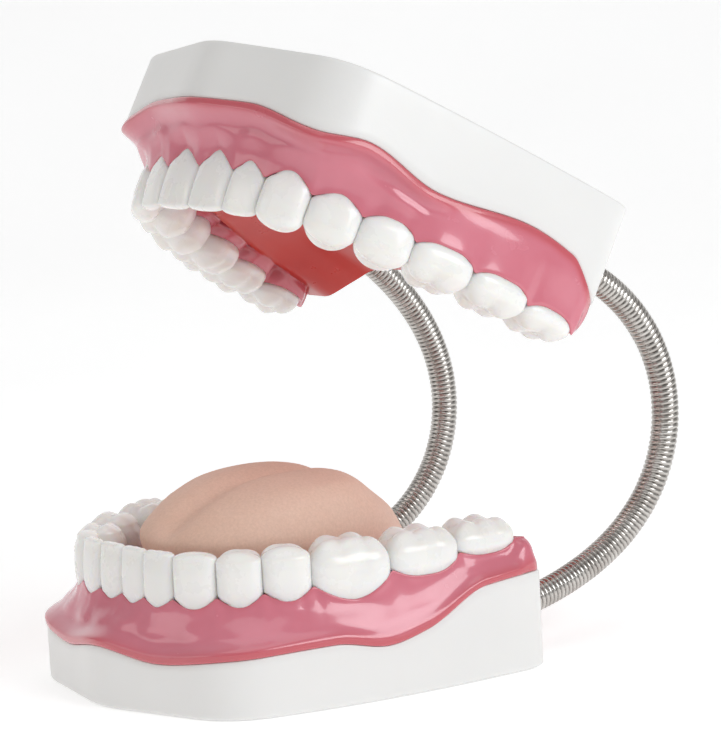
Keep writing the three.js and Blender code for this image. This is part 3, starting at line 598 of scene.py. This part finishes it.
# Each form: widths and reaches to the cheek and tongue side at shares of the crown's height, as
# shares of the tooth's own; the exponent of its rounded-box section; where the side turns over into
# the biting surface; how square that turn is; how deep the biting surface is cut between its cusps
# (mm); the cusps (place along and across, height) with their size along and across; and, for a molar,
# the depth of its side grooves with their places on the cheek and tongue side.
FORMS = {
    "lower_incisor": {
        "width": [(-0.3, 0.45), (0, 0.55), (0.3, 0.8), (0.65, 0.96), (0.88, 1), (1, 1)],
        "cheek": [(-0.3, 0.55), (0, 0.86), (0.3, 1), (0.6, 0.92), (0.9, 0.68), (1, 0.58)],
        "tongue": [(-0.3, 0.55), (0, 0.9), (0.2, 0.95), (0.5, 0.6), (0.8, 0.28), (1, 0.12)],
        "section": 3.4, "shoulder": 0.95, "square": 3, "relief": 0.6,
        "cusps": [(-0.6, 0, 1), (0.05, 0, 0.92), (0.65, 0, 1)], "cusp_size": 0.45, "cusp_depth": 3,
    },
    "lower_canine": {
        "width": [(-0.3, 0.45), (0, 0.6), (0.35, 0.86), (0.7, 0.98), (0.88, 1), (1, 1)],
        "cheek": [(-0.3, 0.55), (0, 0.86), (0.35, 1), (0.7, 0.95), (1, 0.66)],
        "tongue": [(-0.3, 0.55), (0, 0.9), (0.3, 0.95), (0.6, 0.68), (1, 0.3)],
        "section": 2.9, "shoulder": 0.9, "square": 2.8, "relief": 0.9,
        "cusps": [(-0.1, 0.1, 1)], "cusp_size": 1.2, "cusp_depth": 3,
    },
    "premolar": {
        "width": [(-0.3, 0.45), (0, 0.6), (0.35, 0.86), (0.7, 0.98), (0.88, 1), (1, 0.98)],
        "cheek": [(-0.3, 0.55), (0, 0.85), (0.35, 1), (0.7, 0.97), (1, 0.74)],
        "tongue": [(-0.3, 0.55), (0, 0.85), (0.4, 1), (0.7, 0.95), (1, 0.75)],
        "section": 2.9, "shoulder": 0.84, "square": 2.7, "relief": 2.6,
        "cusps": [(-0.05, 0.5, 1), (-0.3, -0.5, 0.85), (0.4, -0.5, 0.8)],
        "cusp_size": 1.1, "cusp_depth": 0.5,
    },
    "molar": {
        "width": [(-0.3, 0.66), (0, 0.8), (0.3, 0.95), (0.6, 1), (1, 0.97)],
        "cheek": [(-0.3, 0.55), (0, 0.8), (0.35, 1), (0.65, 0.95), (1, 0.68)],
        "tongue": [(-0.3, 0.6), (0, 0.86), (0.4, 1), (0.7, 0.97), (1, 0.84)],
        "section": 3.2, "shoulder": 0.62, "square": 2.3, "relief": 3.0,
        "cusps": [(-0.52, 0.56, 1), (0.1, 0.6, 0.93), (0.66, 0.5, 0.9), (-0.46, -0.52, 1),
                  (0.42, -0.52, 0.95)],
        "cusp_size": 0.40, "cusp_depth": 0.48, "groove": 0.2, "groove_at": (0.3, 0.02),
    },
    "upper_incisor": {
        "width": [(-0.3, 0.3), (0, 0.4), (0.25, 0.66), (0.6, 0.92), (0.85, 1), (1, 1)],
        "cheek": [(-0.3, 0.6), (0, 0.92), (0.3, 1), (0.65, 0.9), (0.9, 0.68), (1, 0.57)],
        "tongue": [(-0.3, 0.5), (0, 0.85), (0.2, 0.9), (0.5, 0.55), (0.8, 0.25), (1, 0.1)],
        "section": 3.6, "shoulder": 0.95, "square": 3, "relief": 0.9,
        "cusps": [(-0.3, 0, 1)], "cusp_size": 1.3, "cusp_depth": 3,
    },
    "upper_canine": {
        "width": [(-0.3, 0.4), (0, 0.56), (0.3, 0.88), (0.6, 1), (0.85, 1), (1, 0.95)],
        "cheek": [(-0.3, 0.6), (0, 0.85), (0.35, 1), (0.7, 0.97), (1, 0.68)],
        "tongue": [(-0.3, 0.5), (0, 0.9), (0.25, 0.95), (0.6, 0.65), (1, 0.25)],
        "section": 3.0, "shoulder": 0.8, "square": 2.6, "relief": 1.6,
        "cusps": [(0.14, 0.1, 1)], "cusp_size": 1.15, "cusp_depth": 3,
    },
    "upper_premolar": {
        "width": [(-0.3, 0.44), (0, 0.6), (0.3, 0.9), (0.6, 1), (0.85, 1), (1, 0.94)],
        "cheek": [(-0.3, 0.6), (0, 0.85), (0.35, 1), (0.7, 0.97), (1, 0.72)],
        "tongue": [(-0.3, 0.6), (0, 0.85), (0.4, 1), (0.7, 0.95), (1, 0.72)],
        "section": 3.0, "shoulder": 0.72, "square": 2.5, "relief": 2.8,
        "cusps": [(0.2, 0.55, 1), (0, -0.5, 0.9)], "cusp_size": 1.0, "cusp_depth": 0.5,
    },
    "upper_molar": {
        "width": [(-0.3, 0.62), (0, 0.76), (0.3, 0.95), (0.6, 1), (0.85, 1), (1, 0.95)],
        "cheek": [(-0.3, 0.6), (0, 0.82), (0.35, 1), (0.7, 0.96), (1, 0.7)],
        "tongue": [(-0.3, 0.6), (0, 0.86), (0.4, 1), (0.7, 0.96), (1, 0.8)],
        "section": 3.2, "shoulder": 0.64, "square": 2.4, "relief": 3.0,
        "cusps": [(-0.46, 0.58, 0.9), (0.44, 0.56, 1), (-0.4, -0.52, 0.95), (0.46, -0.5, 0.85)],
        "cusp_size": 0.5, "cusp_depth": 0.5, "groove": 0.18, "groove_at": (0.02, 0.04),
    },
}
ROOT = 6  # a crown goes this far down inside the gum
CROWN_SIDES, SIDE_ROWS, TOP_ROWS = 56, 16, 17
TAPER_TONGUE, TAPER_CHEEK = 0.2, 0.05  # a crown is narrower to the tongue side and a little to the cheek
GROOVE_WIDTH = 0.13
TOOTH_WARMTH = 0.45  # depth of the warmer tint at the neck
UNDER_GUM = 1.16  # a crown is this much wider than the gum's scallop, so that the gum hugs it


class Tooth:
    """One tooth in its own frame: x along the arch, y to the cheek, z to the biting edge."""

    def __init__(self, jaw, index, side):
        name, form, width, self.cheek, self.tongue, self.rise, self.neck, self.sharp = jaw["rows"][index]
        self.name = f"{jaw['label']}_{'left' if side * jaw_turn(jaw) > 0 else 'right'}_{name}"
        self.form = FORMS[form]
        self.half = (width + TOOTH_OVERLAP) / 2
        self.side = side
        self.s = side * (jaw["contacts"][index] + width / 2)
        point, tangent, outward = (v[0] for v in jaw["curve"].at(self.s))
        self.bite = jaw["bite"] - jaw["fall"] * point[1]
        self.papilla = float(curve(jaw["papilla"], abs(self.s)))
        self.basis = np.array([[*-tangent, 0], [*outward, 0], [0, 0, 1]])
        self.origin = np.array([*point, 0])

    def reach(self, z):
        """Half width and reach to the cheek and tongue side at a height."""
        share = (np.asarray(z, float) - self.neck) / (self.bite - self.neck)
        form = self.form
        scallop = np.clip((z - self.neck) / (self.papilla - self.neck), 0, 1) ** (1 / self.sharp)
        width = np.minimum(np.maximum(curve(form["width"], share), scallop * UNDER_GUM), 1)
        return (self.half * width, self.cheek * curve(form["cheek"], share),
                self.tongue * curve(form["tongue"], share))

    def cheek_at(self, x, z, tongue_side=False):
        """How far the crown reaches to the cheek (or tongue) side at a place along it."""
        width, cheek, tongue = self.reach(z)
        power = self.form["section"]
        share = np.clip(np.abs(x / width), 0, 1) ** power
        return (tongue if tongue_side else cheek) * (1 - share) ** (1 / power)

    def ring(self, angles, z):
        """Plan of the crown at a height: a rounded box, with the side grooves of a molar."""
        width, cheek, tongue = self.reach(z)
        power = 2 / self.form["section"]
        x = np.sign(np.cos(angles)) * np.abs(np.cos(angles)) ** power
        y = np.sign(np.sin(angles)) * np.abs(np.sin(angles)) ** power
        taper = np.where(y < 0, 1 + TAPER_TONGUE * y, 1 - TAPER_CHEEK * y)
        plan = np.c_[x * width * taper, np.where(y > 0, y * cheek, y * tongue)]
        depth = self.form.get("groove", 0)
        if depth:
            above = smooth((z - self.neck) / (self.bite - self.neck) * 1.6 - 0.5)
            along_arch = x * -self.side
            cheek_cut, tongue_cut = (bump(along_arch - at, GROOVE_WIDTH) for at in self.form["groove_at"])
            cut = depth * above * np.where(y > 0, cheek_cut, tongue_cut)
            plan[:, 1] *= 1 - cut
        return plan

    def cusp_field(self, plan):
        """Relief of the biting surface, about 1 on a cusp and lower in the grooves."""
        width, cheek, tongue = self.reach(self.bite)
        x = plan[:, 0] / width * -self.side
        middle, depth = (cheek - tongue) / 2, (cheek + tongue) / 2
        y = (plan[:, 1] - middle) / depth
        along, across = self.form["cusp_size"], self.form["cusp_depth"]
        field = np.zeros(len(plan))
        for cx, cy, height in self.form["cusps"]:
            field = np.maximum(field, height * bump(x - cx, along) * bump(y - cy, across))
        return field

    def build(self, jaw):
        """Makes the crown: its sides up to the shoulder, then the biting surface with its cusps."""
        angles = np.linspace(0, 2 * np.pi, CROWN_SIDES, endpoint=False)
        relief, square = self.form["relief"], self.form["square"]
        shoulder = mix(self.neck, self.bite, self.form["shoulder"])
        tip = self.bite + self.rise
        sides = np.linspace(self.neck - ROOT, shoulder, SIDE_ROWS)
        rings = [np.c_[self.ring(angles, z), np.full(len(angles), z)] for z in sides]
        edge = self.ring(angles, shoulder)
        middle = np.array([0, (edge[:, 1].max() + edge[:, 1].min()) / 2])
        grooves = [np.zeros(len(angles))] * len(rings)
        tops = []
        for turn in np.linspace(0, 1, TOP_ROWS)[1:-1]:
            share = math.cos(turn * math.pi / 2) ** (2 / square)
            plan = middle + (edge - middle) * share
            field = self.cusp_field(plan)
            lift = (1 - share**square) ** (1 / square)
            z = shoulder + lift * (tip - shoulder - relief * (1 - field))
            tops.append(np.c_[plan, z])
            # painted shade for the grooves of the biting surface, deepest where the cusps fall away
            grooves.append(smooth((0.5 - field) * 1.8) * lift * 0.5)
        over = max(ring[:, 2].max() for ring in tops)
        for ring in tops:
            ring[:, 2] = shoulder + (ring[:, 2] - shoulder) * (tip - shoulder) / (over - shoulder)
        points, faces = skin(rings + tops)
        points = np.array(points)
        world = points @ self.basis + self.origin
        neck = smooth((self.neck + 3 - points[:, 2]) / 5) * TOOTH_WARMTH
        groove = np.r_[np.concatenate(grooves), 0, grooves[-1].mean()]
        jaw_piece(jaw, self.name + "_crown", world, faces, "tooth_resin", [self.name],
                  {"neck": neck, "groove": groove})


def jaw_turn(jaw):
    """The upper jaw is turned over, so its left and right change places."""
    return -1 if jaw is UPPER else 1


# ---- Gums ----

GUM_STEP = 0.8
BODY_BLUR = 12  # the gum below its edge follows the row of teeth, not each single tooth
GUM_OVER_TOOTH = 0.45
TONGUE_SKIRT = {"lower": 8, "upper": 3.4}  # reach past the crowns of the gum's foot inside the arch
TONGUE_SKIRT_END = 0.8
TONGUE_FOOT = {"lower": DECK + 1.2, "upper": 46.2}  # height of that foot

# The heel, where the gum turns round behind the last molar.
HEEL_OVERHANG = 2
HEEL_FAN = 26
HEEL_BACK = 5
HEEL_LEAD, HEEL_RAMP = 6, 10  # it begins this far before the end of the last molar, and this gradually
HEEL_REACH = 12
SKIRT_LEAD, SKIRT_RAMP = 26, 20  # the same for the narrowing of the foot inside the arch

# Parts of the gum's section, as (distance, height) steps from where they start.
FOOT = np.array([(-2.5, -0.2), (-0.2, -0.15), (0.35, 0.15), (0.65, 0.8), (0.7, 1.7)])
TONGUE_SIDE_FOOT = np.array([(-0.3, -2.5), (0, -1.6), (0.1, -0.8), (-0.1, -0.2), (-0.6, 0.3)])
SLOPE_ROWS = 25
LIP_RED = 0.55


def margin_line(jaw, s, tongue_side=False):
    """Height of the gum's edge along the arch: a papilla at each contact, a scallop at each neck."""
    distance = np.abs(s)
    papilla = curve(jaw["papilla"], distance)
    contacts = jaw["contacts"]
    i = np.clip(np.searchsorted(contacts, distance, side="right") - 1, 0, len(jaw["rows"]) - 1)
    neck = np.array([row[6] for row in jaw["rows"]])[i]
    sharp = np.array([row[7] for row in jaw["rows"]])[i]
    middle, half = (contacts[i] + contacts[i + 1]) / 2, (contacts[i + 1] - contacts[i]) / 2
    u = np.clip(np.abs(distance - middle) / half, 0, 1)
    beyond = smooth((distance - contacts[-1]) / 3)
    if tongue_side:
        neck, sharp = neck + 1.5, np.maximum(sharp, 2.0)
        papilla = papilla - 1
    heel_length, heel_drop = jaw["heel_round"]
    behind = np.clip((distance - contacts[-1]) / heel_length, 0, 1)
    line = mix(neck + (papilla - neck) * u**sharp, papilla, beyond)
    return blur(line - heel_drop * (1 - np.sqrt(1 - behind**2)), 0.6)


def gum_reaches(jaw, s, line, teeth, tongue_side=False):
    """Distance of the gum's edge from the contact line, so that it just covers the crowns."""
    reach = np.zeros(len(s))
    for tooth in teeth:
        near = np.abs(s - tooth.s) <= tooth.half + 1.5
        x = np.clip(s[near] - tooth.s, -tooth.half, tooth.half)
        width, cheek, tongue = tooth.reach(line[near])
        full = tongue if tongue_side else cheek
        depth = np.maximum(tooth.cheek_at(x, line[near], tongue_side), full * 0.5)
        reach[near] = np.maximum(reach[near], depth)
    last = teeth[-1]
    beyond = np.abs(s) > abs(last.s) + last.half
    reach[beyond] = reach[~beyond][[0, -1]].mean()
    return blur(reach, 1.6) + GUM_OVER_TOOTH


def bezier(a, b, c, d, t):
    return (1 - t) ** 3 * a + 3 * t * (1 - t) ** 2 * b + 3 * t**2 * (1 - t) * c + t**3 * d


def gum(jaw, teeth):
    """The gum: a rolled border on the base, root bulges, scalloped edges round the necks."""
    arch, label = jaw["curve"], jaw["label"]
    limit = arch.half + HEEL_OVERHANG
    s = np.linspace(-limit, limit, round(2 * limit / GUM_STEP) + 1)
    lines = {side: margin_line(jaw, s, side) for side in (False, True)}
    reaches = {side: gum_reaches(jaw, s, lines[side], teeth, side) for side in (False, True)}
    body_reach = blur(reaches[False], BODY_BLUR)
    body_edge = blur(lines[False], BODY_BLUR)
    fan = np.arange(1, HEEL_FAN + 1) / (HEEL_FAN + 1) * np.pi
    stations = ([(k, 0.0) for k in range(len(s))] + [(len(s) - 1, a) for a in fan]
                + [(k, np.pi) for k in range(len(s) - 1, -1, -1)] + [(0, np.pi + a) for a in fan])
    points, _, outward = arch.at(s)
    columns, rims = [], []
    for k, turn in stations:
        share = (1 - math.cos(turn)) / 2
        rotation = np.array([[math.cos(turn), -math.sin(turn)], [math.sin(turn), math.cos(turn)]])
        direction = rotation @ outward[k]
        wall, position = meet_outline(jaw["outline"], jaw["distances"], points[k], direction)
        edge = mix(lines[False][k], lines[True][k], share)
        heel = float(smooth((abs(s[k]) - jaw["contacts"][-1] + HEEL_LEAD) / HEEL_RAMP))
        wall -= jaw["heel_inset"] * heel * (1 if turn else smooth((abs(s[k]) - arch.half + 8) / 10))
        out = mix(reaches[False][k], reaches[True][k], share)
        out = min(out, wall * jaw["heel_top"] + HEEL_REACH * (1 - heel))
        inner = smooth((abs(s[k]) - jaw["contacts"][-1] + SKIRT_LEAD) / SKIRT_RAMP)
        skirt = reaches[True][k] + mix(TONGUE_SKIRT[label], TONGUE_SKIRT_END, float(inner))
        if turn not in (0, np.pi):
            oval = 1 / math.hypot(math.cos(turn) / skirt, math.sin(turn) / HEEL_BACK)
            skirt = min(oval, wall)
        here = SimpleNamespace(
            s=s[k], wall=wall, border=float(curve(jaw["border"], position)), edge=edge, out=out,
            skirt=skirt, heel=heel, roll=float(curve(jaw["rim_roll"], position)),
            body_reach=mix(body_reach[k], out, heel), body_edge=mix(body_edge[k], edge, heel))
        cheek, cheek_rim = cheek_section(here, teeth)
        tongue, tongue_rim = tongue_section(here, TONGUE_FOOT[label])
        rows, rim = mix(cheek, tongue, share), mix(cheek_rim, tongue_rim, share)
        plan = points[k] + np.outer(rows[:, 0], direction)
        columns.append(np.c_[plan, rows[:, 1]])
        rims.append(rim)
    rings = np.array(columns).transpose(1, 0, 2)
    surface, faces = skin(rings, capped=False)
    jaw_piece(jaw, f"{label}_gum_skin", surface, faces, "gum_pink", [f"{label}_gum"],
              {"rim": np.array(rims).T.ravel()})


def root_bulge(s, teeth):
    """Gentle ridge over each root and hollow between the roots, from -1 to 1."""
    nearest = min(teeth, key=lambda tooth: abs(tooth.s - s))
    fade = 1 - smooth((abs(s) - 60) / 60)
    return math.cos(math.pi * min(1, abs(s - nearest.s) / nearest.half)) * (0.25 + 0.75 * fade)


def lip(here):
    """Rounded edge of the gum on a crown, then the flat middle of the ridge hidden inside it."""
    out, edge = here.out, here.edge
    return np.array([(out - 0.12, edge - 0.12), (out - 0.45, edge + 0.02), (out - 1.0, edge - 0.2),
                     (out * 0.66, edge - 1.0), (out * 0.3, edge - 0.8), (0, edge - 0.6)])


def cheek_section(here, teeth):
    """Section of the gum from its foot on the base to the ridge, and how red each row is."""
    t = np.linspace(0, 1, SLOPE_ROWS + 1)[1:]
    foot = FOOT + (here.wall, here.border)
    height, rise = here.edge - here.border, here.body_edge - here.border
    full = here.body_reach + 0.6
    furthest = (here.wall + full + math.hypot(here.wall - full, 1.5)) / 2 + 0.4
    turn_in = np.array([furthest, here.border + 2.2 + mix(0.2, 0.42, here.heel) * rise])
    tuck = np.array([mix(here.body_reach, here.wall, mix(0.12, 0.8, here.heel)),
                     here.body_edge - mix(0.45, 0.06, here.heel) * rise])
    slope = bezier(foot[-1], turn_in, tuck, np.array([here.out, here.edge - 0.5]), t[:, None])
    hollow = here.roll * (bump(t - 0.36, 0.18) - 0.3 * bump(t - 0.12, 0.09))
    ridge = 0.4 * root_bulge(here.s, teeth) * bump(t - 0.62, 0.26)
    room = min(1, height / 14) * float(smooth((here.wall - here.body_reach) / 5))
    slope[:, 0] += (ridge - hollow) * room
    rim = np.r_[np.ones(len(FOOT)), np.clip(1.1 - t * height / 5.5, 0, 1), np.full(6, LIP_RED)]
    edge_red = np.r_[np.zeros(len(FOOT)), 0.5 * bump(t - 1, 0.05), np.zeros(6)]
    return np.vstack([foot, slope, lip(here)]), np.maximum(rim, edge_red)


def tongue_section(here, low):
    """The same on the tongue side, from a foot at height low."""
    t = np.linspace(0, 1, SLOPE_ROWS + 1)[1:]
    foot = TONGUE_SIDE_FOOT + (here.skirt, low)
    rise = here.edge - low
    leave = foot[-1] + (-1.2, 0.1 * rise)
    arrive = np.array([here.out + 1.4, here.edge - 0.5 * rise])
    slope = bezier(foot[-1], leave, arrive, np.array([here.out, here.edge - 0.5]), t[:, None])
    rim = np.r_[np.ones(len(foot)), np.clip(1.3 - 0.7 * t, 0.5, 1), np.full(6, LIP_RED)]
    return np.vstack([foot, slope, lip(here)]), rim


INNER_STEPS = 241
FLOOR_BACK = 4  # the mouth floor ends this far inside the base's back face
FLOOR_INSET = [(0, 14), (45, 17), (95, 24), (170, 24)]
# Share of the outline and rise over the deck, from the sheet's foot to its flat top.
FLOOR_EDGE = ((1, -0.3), (1, 0.3), (0.994, 0.6), (0.985, 0.75), (0.9, 0.8))


def closed_at_back(arch, inset_at, back):
    """Outline inside the row of teeth, with a straight back. inset_at tells how far inside it runs."""
    s = np.linspace(-arch.half, arch.half, INNER_STEPS)
    point, _, outward = arch.at(s)
    plan = point - outward * inset_at(np.abs(s))[:, None]
    plan = plan[plan[:, 1] < back - 1]
    plan = np.vstack([(plan[0, 0], back), plan, (plan[-1, 0], back)])
    return np.vstack([plan, np.linspace(plan[-1], plan[0], 61)[1:-1]])


def mouth_floor():
    """Thin sheet of gum on the deck of the lower base, under and behind the tongue."""
    outline = closed_at_back(LOWER["curve"], lambda s: curve(FLOOR_INSET, s),
                             LOWER["heel"][1] - FLOOR_BACK)
    middle = outline.mean(0)
    points, faces = skin([np.c_[middle + (outline - middle) * share, np.full(len(outline), DECK + rise)]
                          for share, rise in FLOOR_EDGE])
    jaw_piece(LOWER, "mouth_floor", points, faces, "gum_pink", [], {"rim": np.full(len(points), 0.6)})


# ---- Palate and tongue ----

# Height of the palate above the flat face at distances in from the tongue side of the teeth.
PALATE_RISE = [(0, 47), (3, 46.5), (8, 43.8), (12, 41.2), (18, 37.5), (24, 33.8), (32, 32.4), (80, 32.3)]
TOOTH_REACH = [(0, 10), (45, 13), (95, 20), (170, 19)]  # of the upper teeth, in from the contact line
PALATE_ROWS = 48


def palate_height(plan):
    arch = UPPER["curve"]
    s = np.linspace(-arch.half, arch.half, 300)
    feet = arch.at(s)[0]
    gaps = np.hypot(plan[:, None, 0] - feet[None, :, 0], plan[:, None, 1] - feet[None, :, 1])
    return curve(PALATE_RISE, (gaps - curve(TOOTH_REACH, np.abs(s))).min(1))


def palate():
    """Vault of the upper jaw, inside the gum, closed by a smooth curved edge at the back."""
    arch, back = UPPER["curve"], UPPER["heel"][1] - 0.5
    under_gum = lambda s: mix(curve(TOOTH_REACH, s) + 1.5, 6, smooth((s - arch.half + 24) / 20))
    outline = closed_at_back(arch, under_gum, back)
    centre = np.array([0, back])
    rings = [np.c_[outline, np.full(len(outline), DECK + GAP)],
             np.c_[outline, palate_height(outline) - 0.8]]
    for share in np.r_[np.linspace(1, 0.98, 4)[1:], np.linspace(0.98, 0.03, PALATE_ROWS)[1:]]:
        ring = centre + (outline - centre) * share
        folds = 0.4 * np.sin(ring[:, 1] / 2.6) * bump(ring[:, 1] - 36, 14) * smooth(np.abs(ring[:, 0]) / 8)
        raphe = 0.5 * bump(ring[:, 0], 2.2) * smooth((back - ring[:, 1]) / 15)
        rings.append(np.c_[ring, palate_height(ring) + folds + raphe])
    points, faces = skin(rings)
    sharpen(jaw_piece(UPPER, "palate_vault", points, faces, "palate_red", ["palate"]), CRISP_PALATE)


# Half width of the tongue and front and back ends (jaw frame) at heights above the flat face.
TONGUE_WIDTH = [(31, 34), (43, 38), (57, 41), (66, 38), (73.5, 32), (77.5, 20), (79, 2)]
TONGUE_FRONT = [(31, 24), (43, 20), (57, 16), (66, 25), (73.5, 40), (77.5, 54), (79, 68)]
TONGUE_BACK = [(31, 122), (43, 127), (57, 120), (66, 110), (73.5, 100), (77.5, 88), (79, 72)]
TONGUE_SIDES, TONGUE_ROWS = 128, 60
TONGUE_GROOVE = 4.4
TONGUE_SECTION = 0.9  # 1 is an ellipse; less is squarer


def tongue():
    """Tongue: a broad pad with two long swellings and a soft groove between them."""
    angles = np.linspace(0, 2 * np.pi, TONGUE_SIDES, endpoint=False)
    across, along = (np.sign(v) * np.abs(v) ** TONGUE_SECTION for v in (np.cos(angles), np.sin(angles)))
    rings = []
    for t in np.linspace(0, 1, TONGUE_ROWS):
        z = mix(DECK + GAP, TONGUE_WIDTH[-1][0], math.sin(t * math.pi / 2))
        width, front, back = (float(curve(line, z)) for line in (TONGUE_WIDTH, TONGUE_FRONT, TONGUE_BACK))
        x, y = across * width, (front + back) / 2 + along * (back - front) / 2
        depth = TONGUE_GROOVE * smooth((z - 50) / 16)
        groove = depth * bump(x, 7) * smooth((y - 8) / 20) * smooth((128 - y) / 25)
        rings.append(np.c_[x, y, z - groove])
    points, faces = skin(rings)
    jaw_piece(LOWER, "tongue_pad", points, faces, "tongue_vinyl", ["tongue"])


# ---- Goosenecks ----

COIL_PITCH = 2.1
COIL_DEPTH = 0.75
COIL_FULLNESS = 0.6  # 1 is a sine wave; less makes the turns rounder and the grooves narrower
COIL_SHADE_FOCUS = 1.5  # how closely the painted brown shade keeps to the bottom of a groove
COIL_STEPS = 7
COIL_SIDES = 28
COIL_INSET = 0.1  # the coil ends this far inside the gooseneck's ends
BEND_LOWER, BEND_UPPER = 41, 21  # half the length of coil given round each joint, lower and upper


def coil_tube(side, start, end):
    """Stretch of a gooseneck between two distances along it: a tight winding of rounded strip."""
    label = "left" if side > 0 else "right"
    count = round((end - start) / COIL_PITCH * COIL_STEPS)
    distances = np.linspace(start, end, count + 1)
    angles = np.linspace(0, 2 * np.pi, COIL_SIDES, endpoint=False)
    rings, grooves = [], []
    for distance in distances:
        y, z, heading = neck_at(distance)
        phase = (distance / COIL_PITCH + angles / (2 * np.pi)) % 1
        crown = np.abs(np.sin(np.pi * phase)) ** COIL_FULLNESS
        radius = NECK_RADIUS - COIL_DEPTH * (1 - crown)
        sway = NECK_SWAY[label] * math.sin(2 * math.pi * distance / NECK_LENGTH)
        across, up = radius * np.cos(angles), radius * np.sin(angles) + sway
        rings.append(np.c_[side * NECK_X + across, y - up * math.sin(heading), z + up * math.cos(heading)])
        # painted shade in the groove between the turns, darkest at its bottom
        grooves.append((1 - crown) ** COIL_SHADE_FOCUS)
    return rings, grooves


def gooseneck(side):
    """One gooseneck in two stretches, each reaching across one of its joints."""
    label = "left" if side > 0 else "right"
    split = sum(NECK_BENDS) / 2
    stretches = (
        ("lower", COIL_INSET, split, NECK_BENDS[0], BEND_LOWER, "lower_jaw", "neck_middle",
         ("lower", "middle")),
        ("upper", split, NECK_LENGTH - COIL_INSET, NECK_BENDS[1], BEND_UPPER, "neck_middle", "upper_jaw",
         ("upper",)),
    )
    for part, start, end, hinge, bend, before, after, nodes in stretches:
        rings, grooves = coil_tube(side, start, end)
        points, faces = skin(rings)
        groove = np.r_[np.concatenate(grooves), 1, 1]
        piece = mesh_object(f"gooseneck_{label}_{part}_coil", points, faces, Matrix.Identity(4), "steel",
                            {"groove": groove})
        sharpen(piece, CRISP_COIL)
        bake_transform(piece)
        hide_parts(*(f"gooseneck_{label}_{node}" for node in nodes))


# ---- Everything in place ----

for jaw in (LOWER, UPPER):
    base_shell(jaw)
    base_plate(jaw)
    teeth = [Tooth(jaw, i, side) for side in (-1, 1) for i in range(len(jaw["rows"]))]
    for tooth in teeth:
        tooth.build(jaw)
    gum(jaw, teeth)
palate()
mouth_floor()
tongue()
for side in (-1, 1):
    gooseneck(side)
for name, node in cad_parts.items():
    if "_stud_" in name or "_nut_" in name:
        node.data.materials.clear()
        node.data.materials.append(MATERIALS["steel"])

# ---- Camera, floor and light ----

CAMERA_AZIMUTH = math.radians(50.949)
CAMERA_ELEVATION = math.radians(8.381)
CAMERA_ROLL = math.radians(-3.189)
CAMERA_DISTANCE = 1.32226
CAMERA_TARGET = Vector((0, 0.06012, 0.10762))
LENS, SENSOR_WIDTH = 158.2, 36


def camera():
    data = bpy.data.cameras.new("camera")
    data.lens = LENS
    data.sensor_width = SENSOR_WIDTH
    data.clip_start, data.clip_end = 0.05, 20
    seen = add("camera", data)
    seen.matrix_world = (
        Matrix.Translation(CAMERA_TARGET)
        @ Matrix.Rotation(CAMERA_AZIMUTH, 4, "Z")
        @ Matrix.Rotation(math.pi / 2 - CAMERA_ELEVATION, 4, "X")
        @ Matrix.Rotation(CAMERA_ROLL, 4, "Z")
        @ Matrix.Translation((0, 0, CAMERA_DISTANCE))
    )
    bpy.context.scene.camera = seen


def floor():
    """Pale floor just under the object, curving up behind it."""
    half, flat, rise, bend, below = 3.0, 1.2, 2.2, 0.8, 0.0004
    profile = [(-half, 0), (flat, 0)]
    profile += [(flat + bend * math.sin(a), bend * (1 - math.cos(a))) for a in np.linspace(0.1, 1.57, 12)]
    profile += [(flat + bend, rise)]
    turn = Matrix.Rotation(CAMERA_AZIMUTH, 3, "Z")
    points = [turn @ Vector((x, y, z - below)) for y, z in profile for x in (-half, half)]
    faces = [(2 * i, 2 * i + 1, 2 * i + 3, 2 * i + 2) for i in range(len(profile) - 1)]
    mesh = bpy.data.meshes.new("floor")
    mesh.from_pydata([tuple(p) for p in points], [], faces)
    mesh.shade_smooth()
    mesh.materials.append(floor_paper())
    ground = add("floor", mesh)


def softbox(name, place, target, size, power, colour=(1, 1, 1)):
    data = bpy.data.lights.new(name, "AREA")
    data.shape = "RECTANGLE"
    data.size, data.size_y = size
    data.energy = power
    data.color = colour
    lamp = add(name, data)
    lamp.location = place
    lamp.rotation_mode = "QUATERNION"
    lamp.rotation_quaternion = (Vector(target) - Vector(place)).to_track_quat("-Z", "Y")


def lights():
    middle = (0, 0, 0.1)
    softbox("key", (1.3, 0.3, 0.75), middle, (0.9, 0.7), 9, (0.96, 0.98, 1.0))
    softbox("fill", (-0.5, -1.5, 0.8), middle, (1.0, 0.8), 3.2, (1.0, 0.96, 0.92))
    softbox("top", (0.1, 0.0, 1.6), middle, (1.2, 1.2), 4)
    world = bpy.data.worlds.new("studio")
    world.use_nodes = True
    background = world.node_tree.nodes["Background"]
    background.inputs["Color"].default_value = (1, 1, 1, 1)
    background.inputs["Strength"].default_value = 0.4
    bpy.context.scene.world = world


camera()
floor()
lights()
bpy.context.scene.view_settings.view_transform = "Standard"
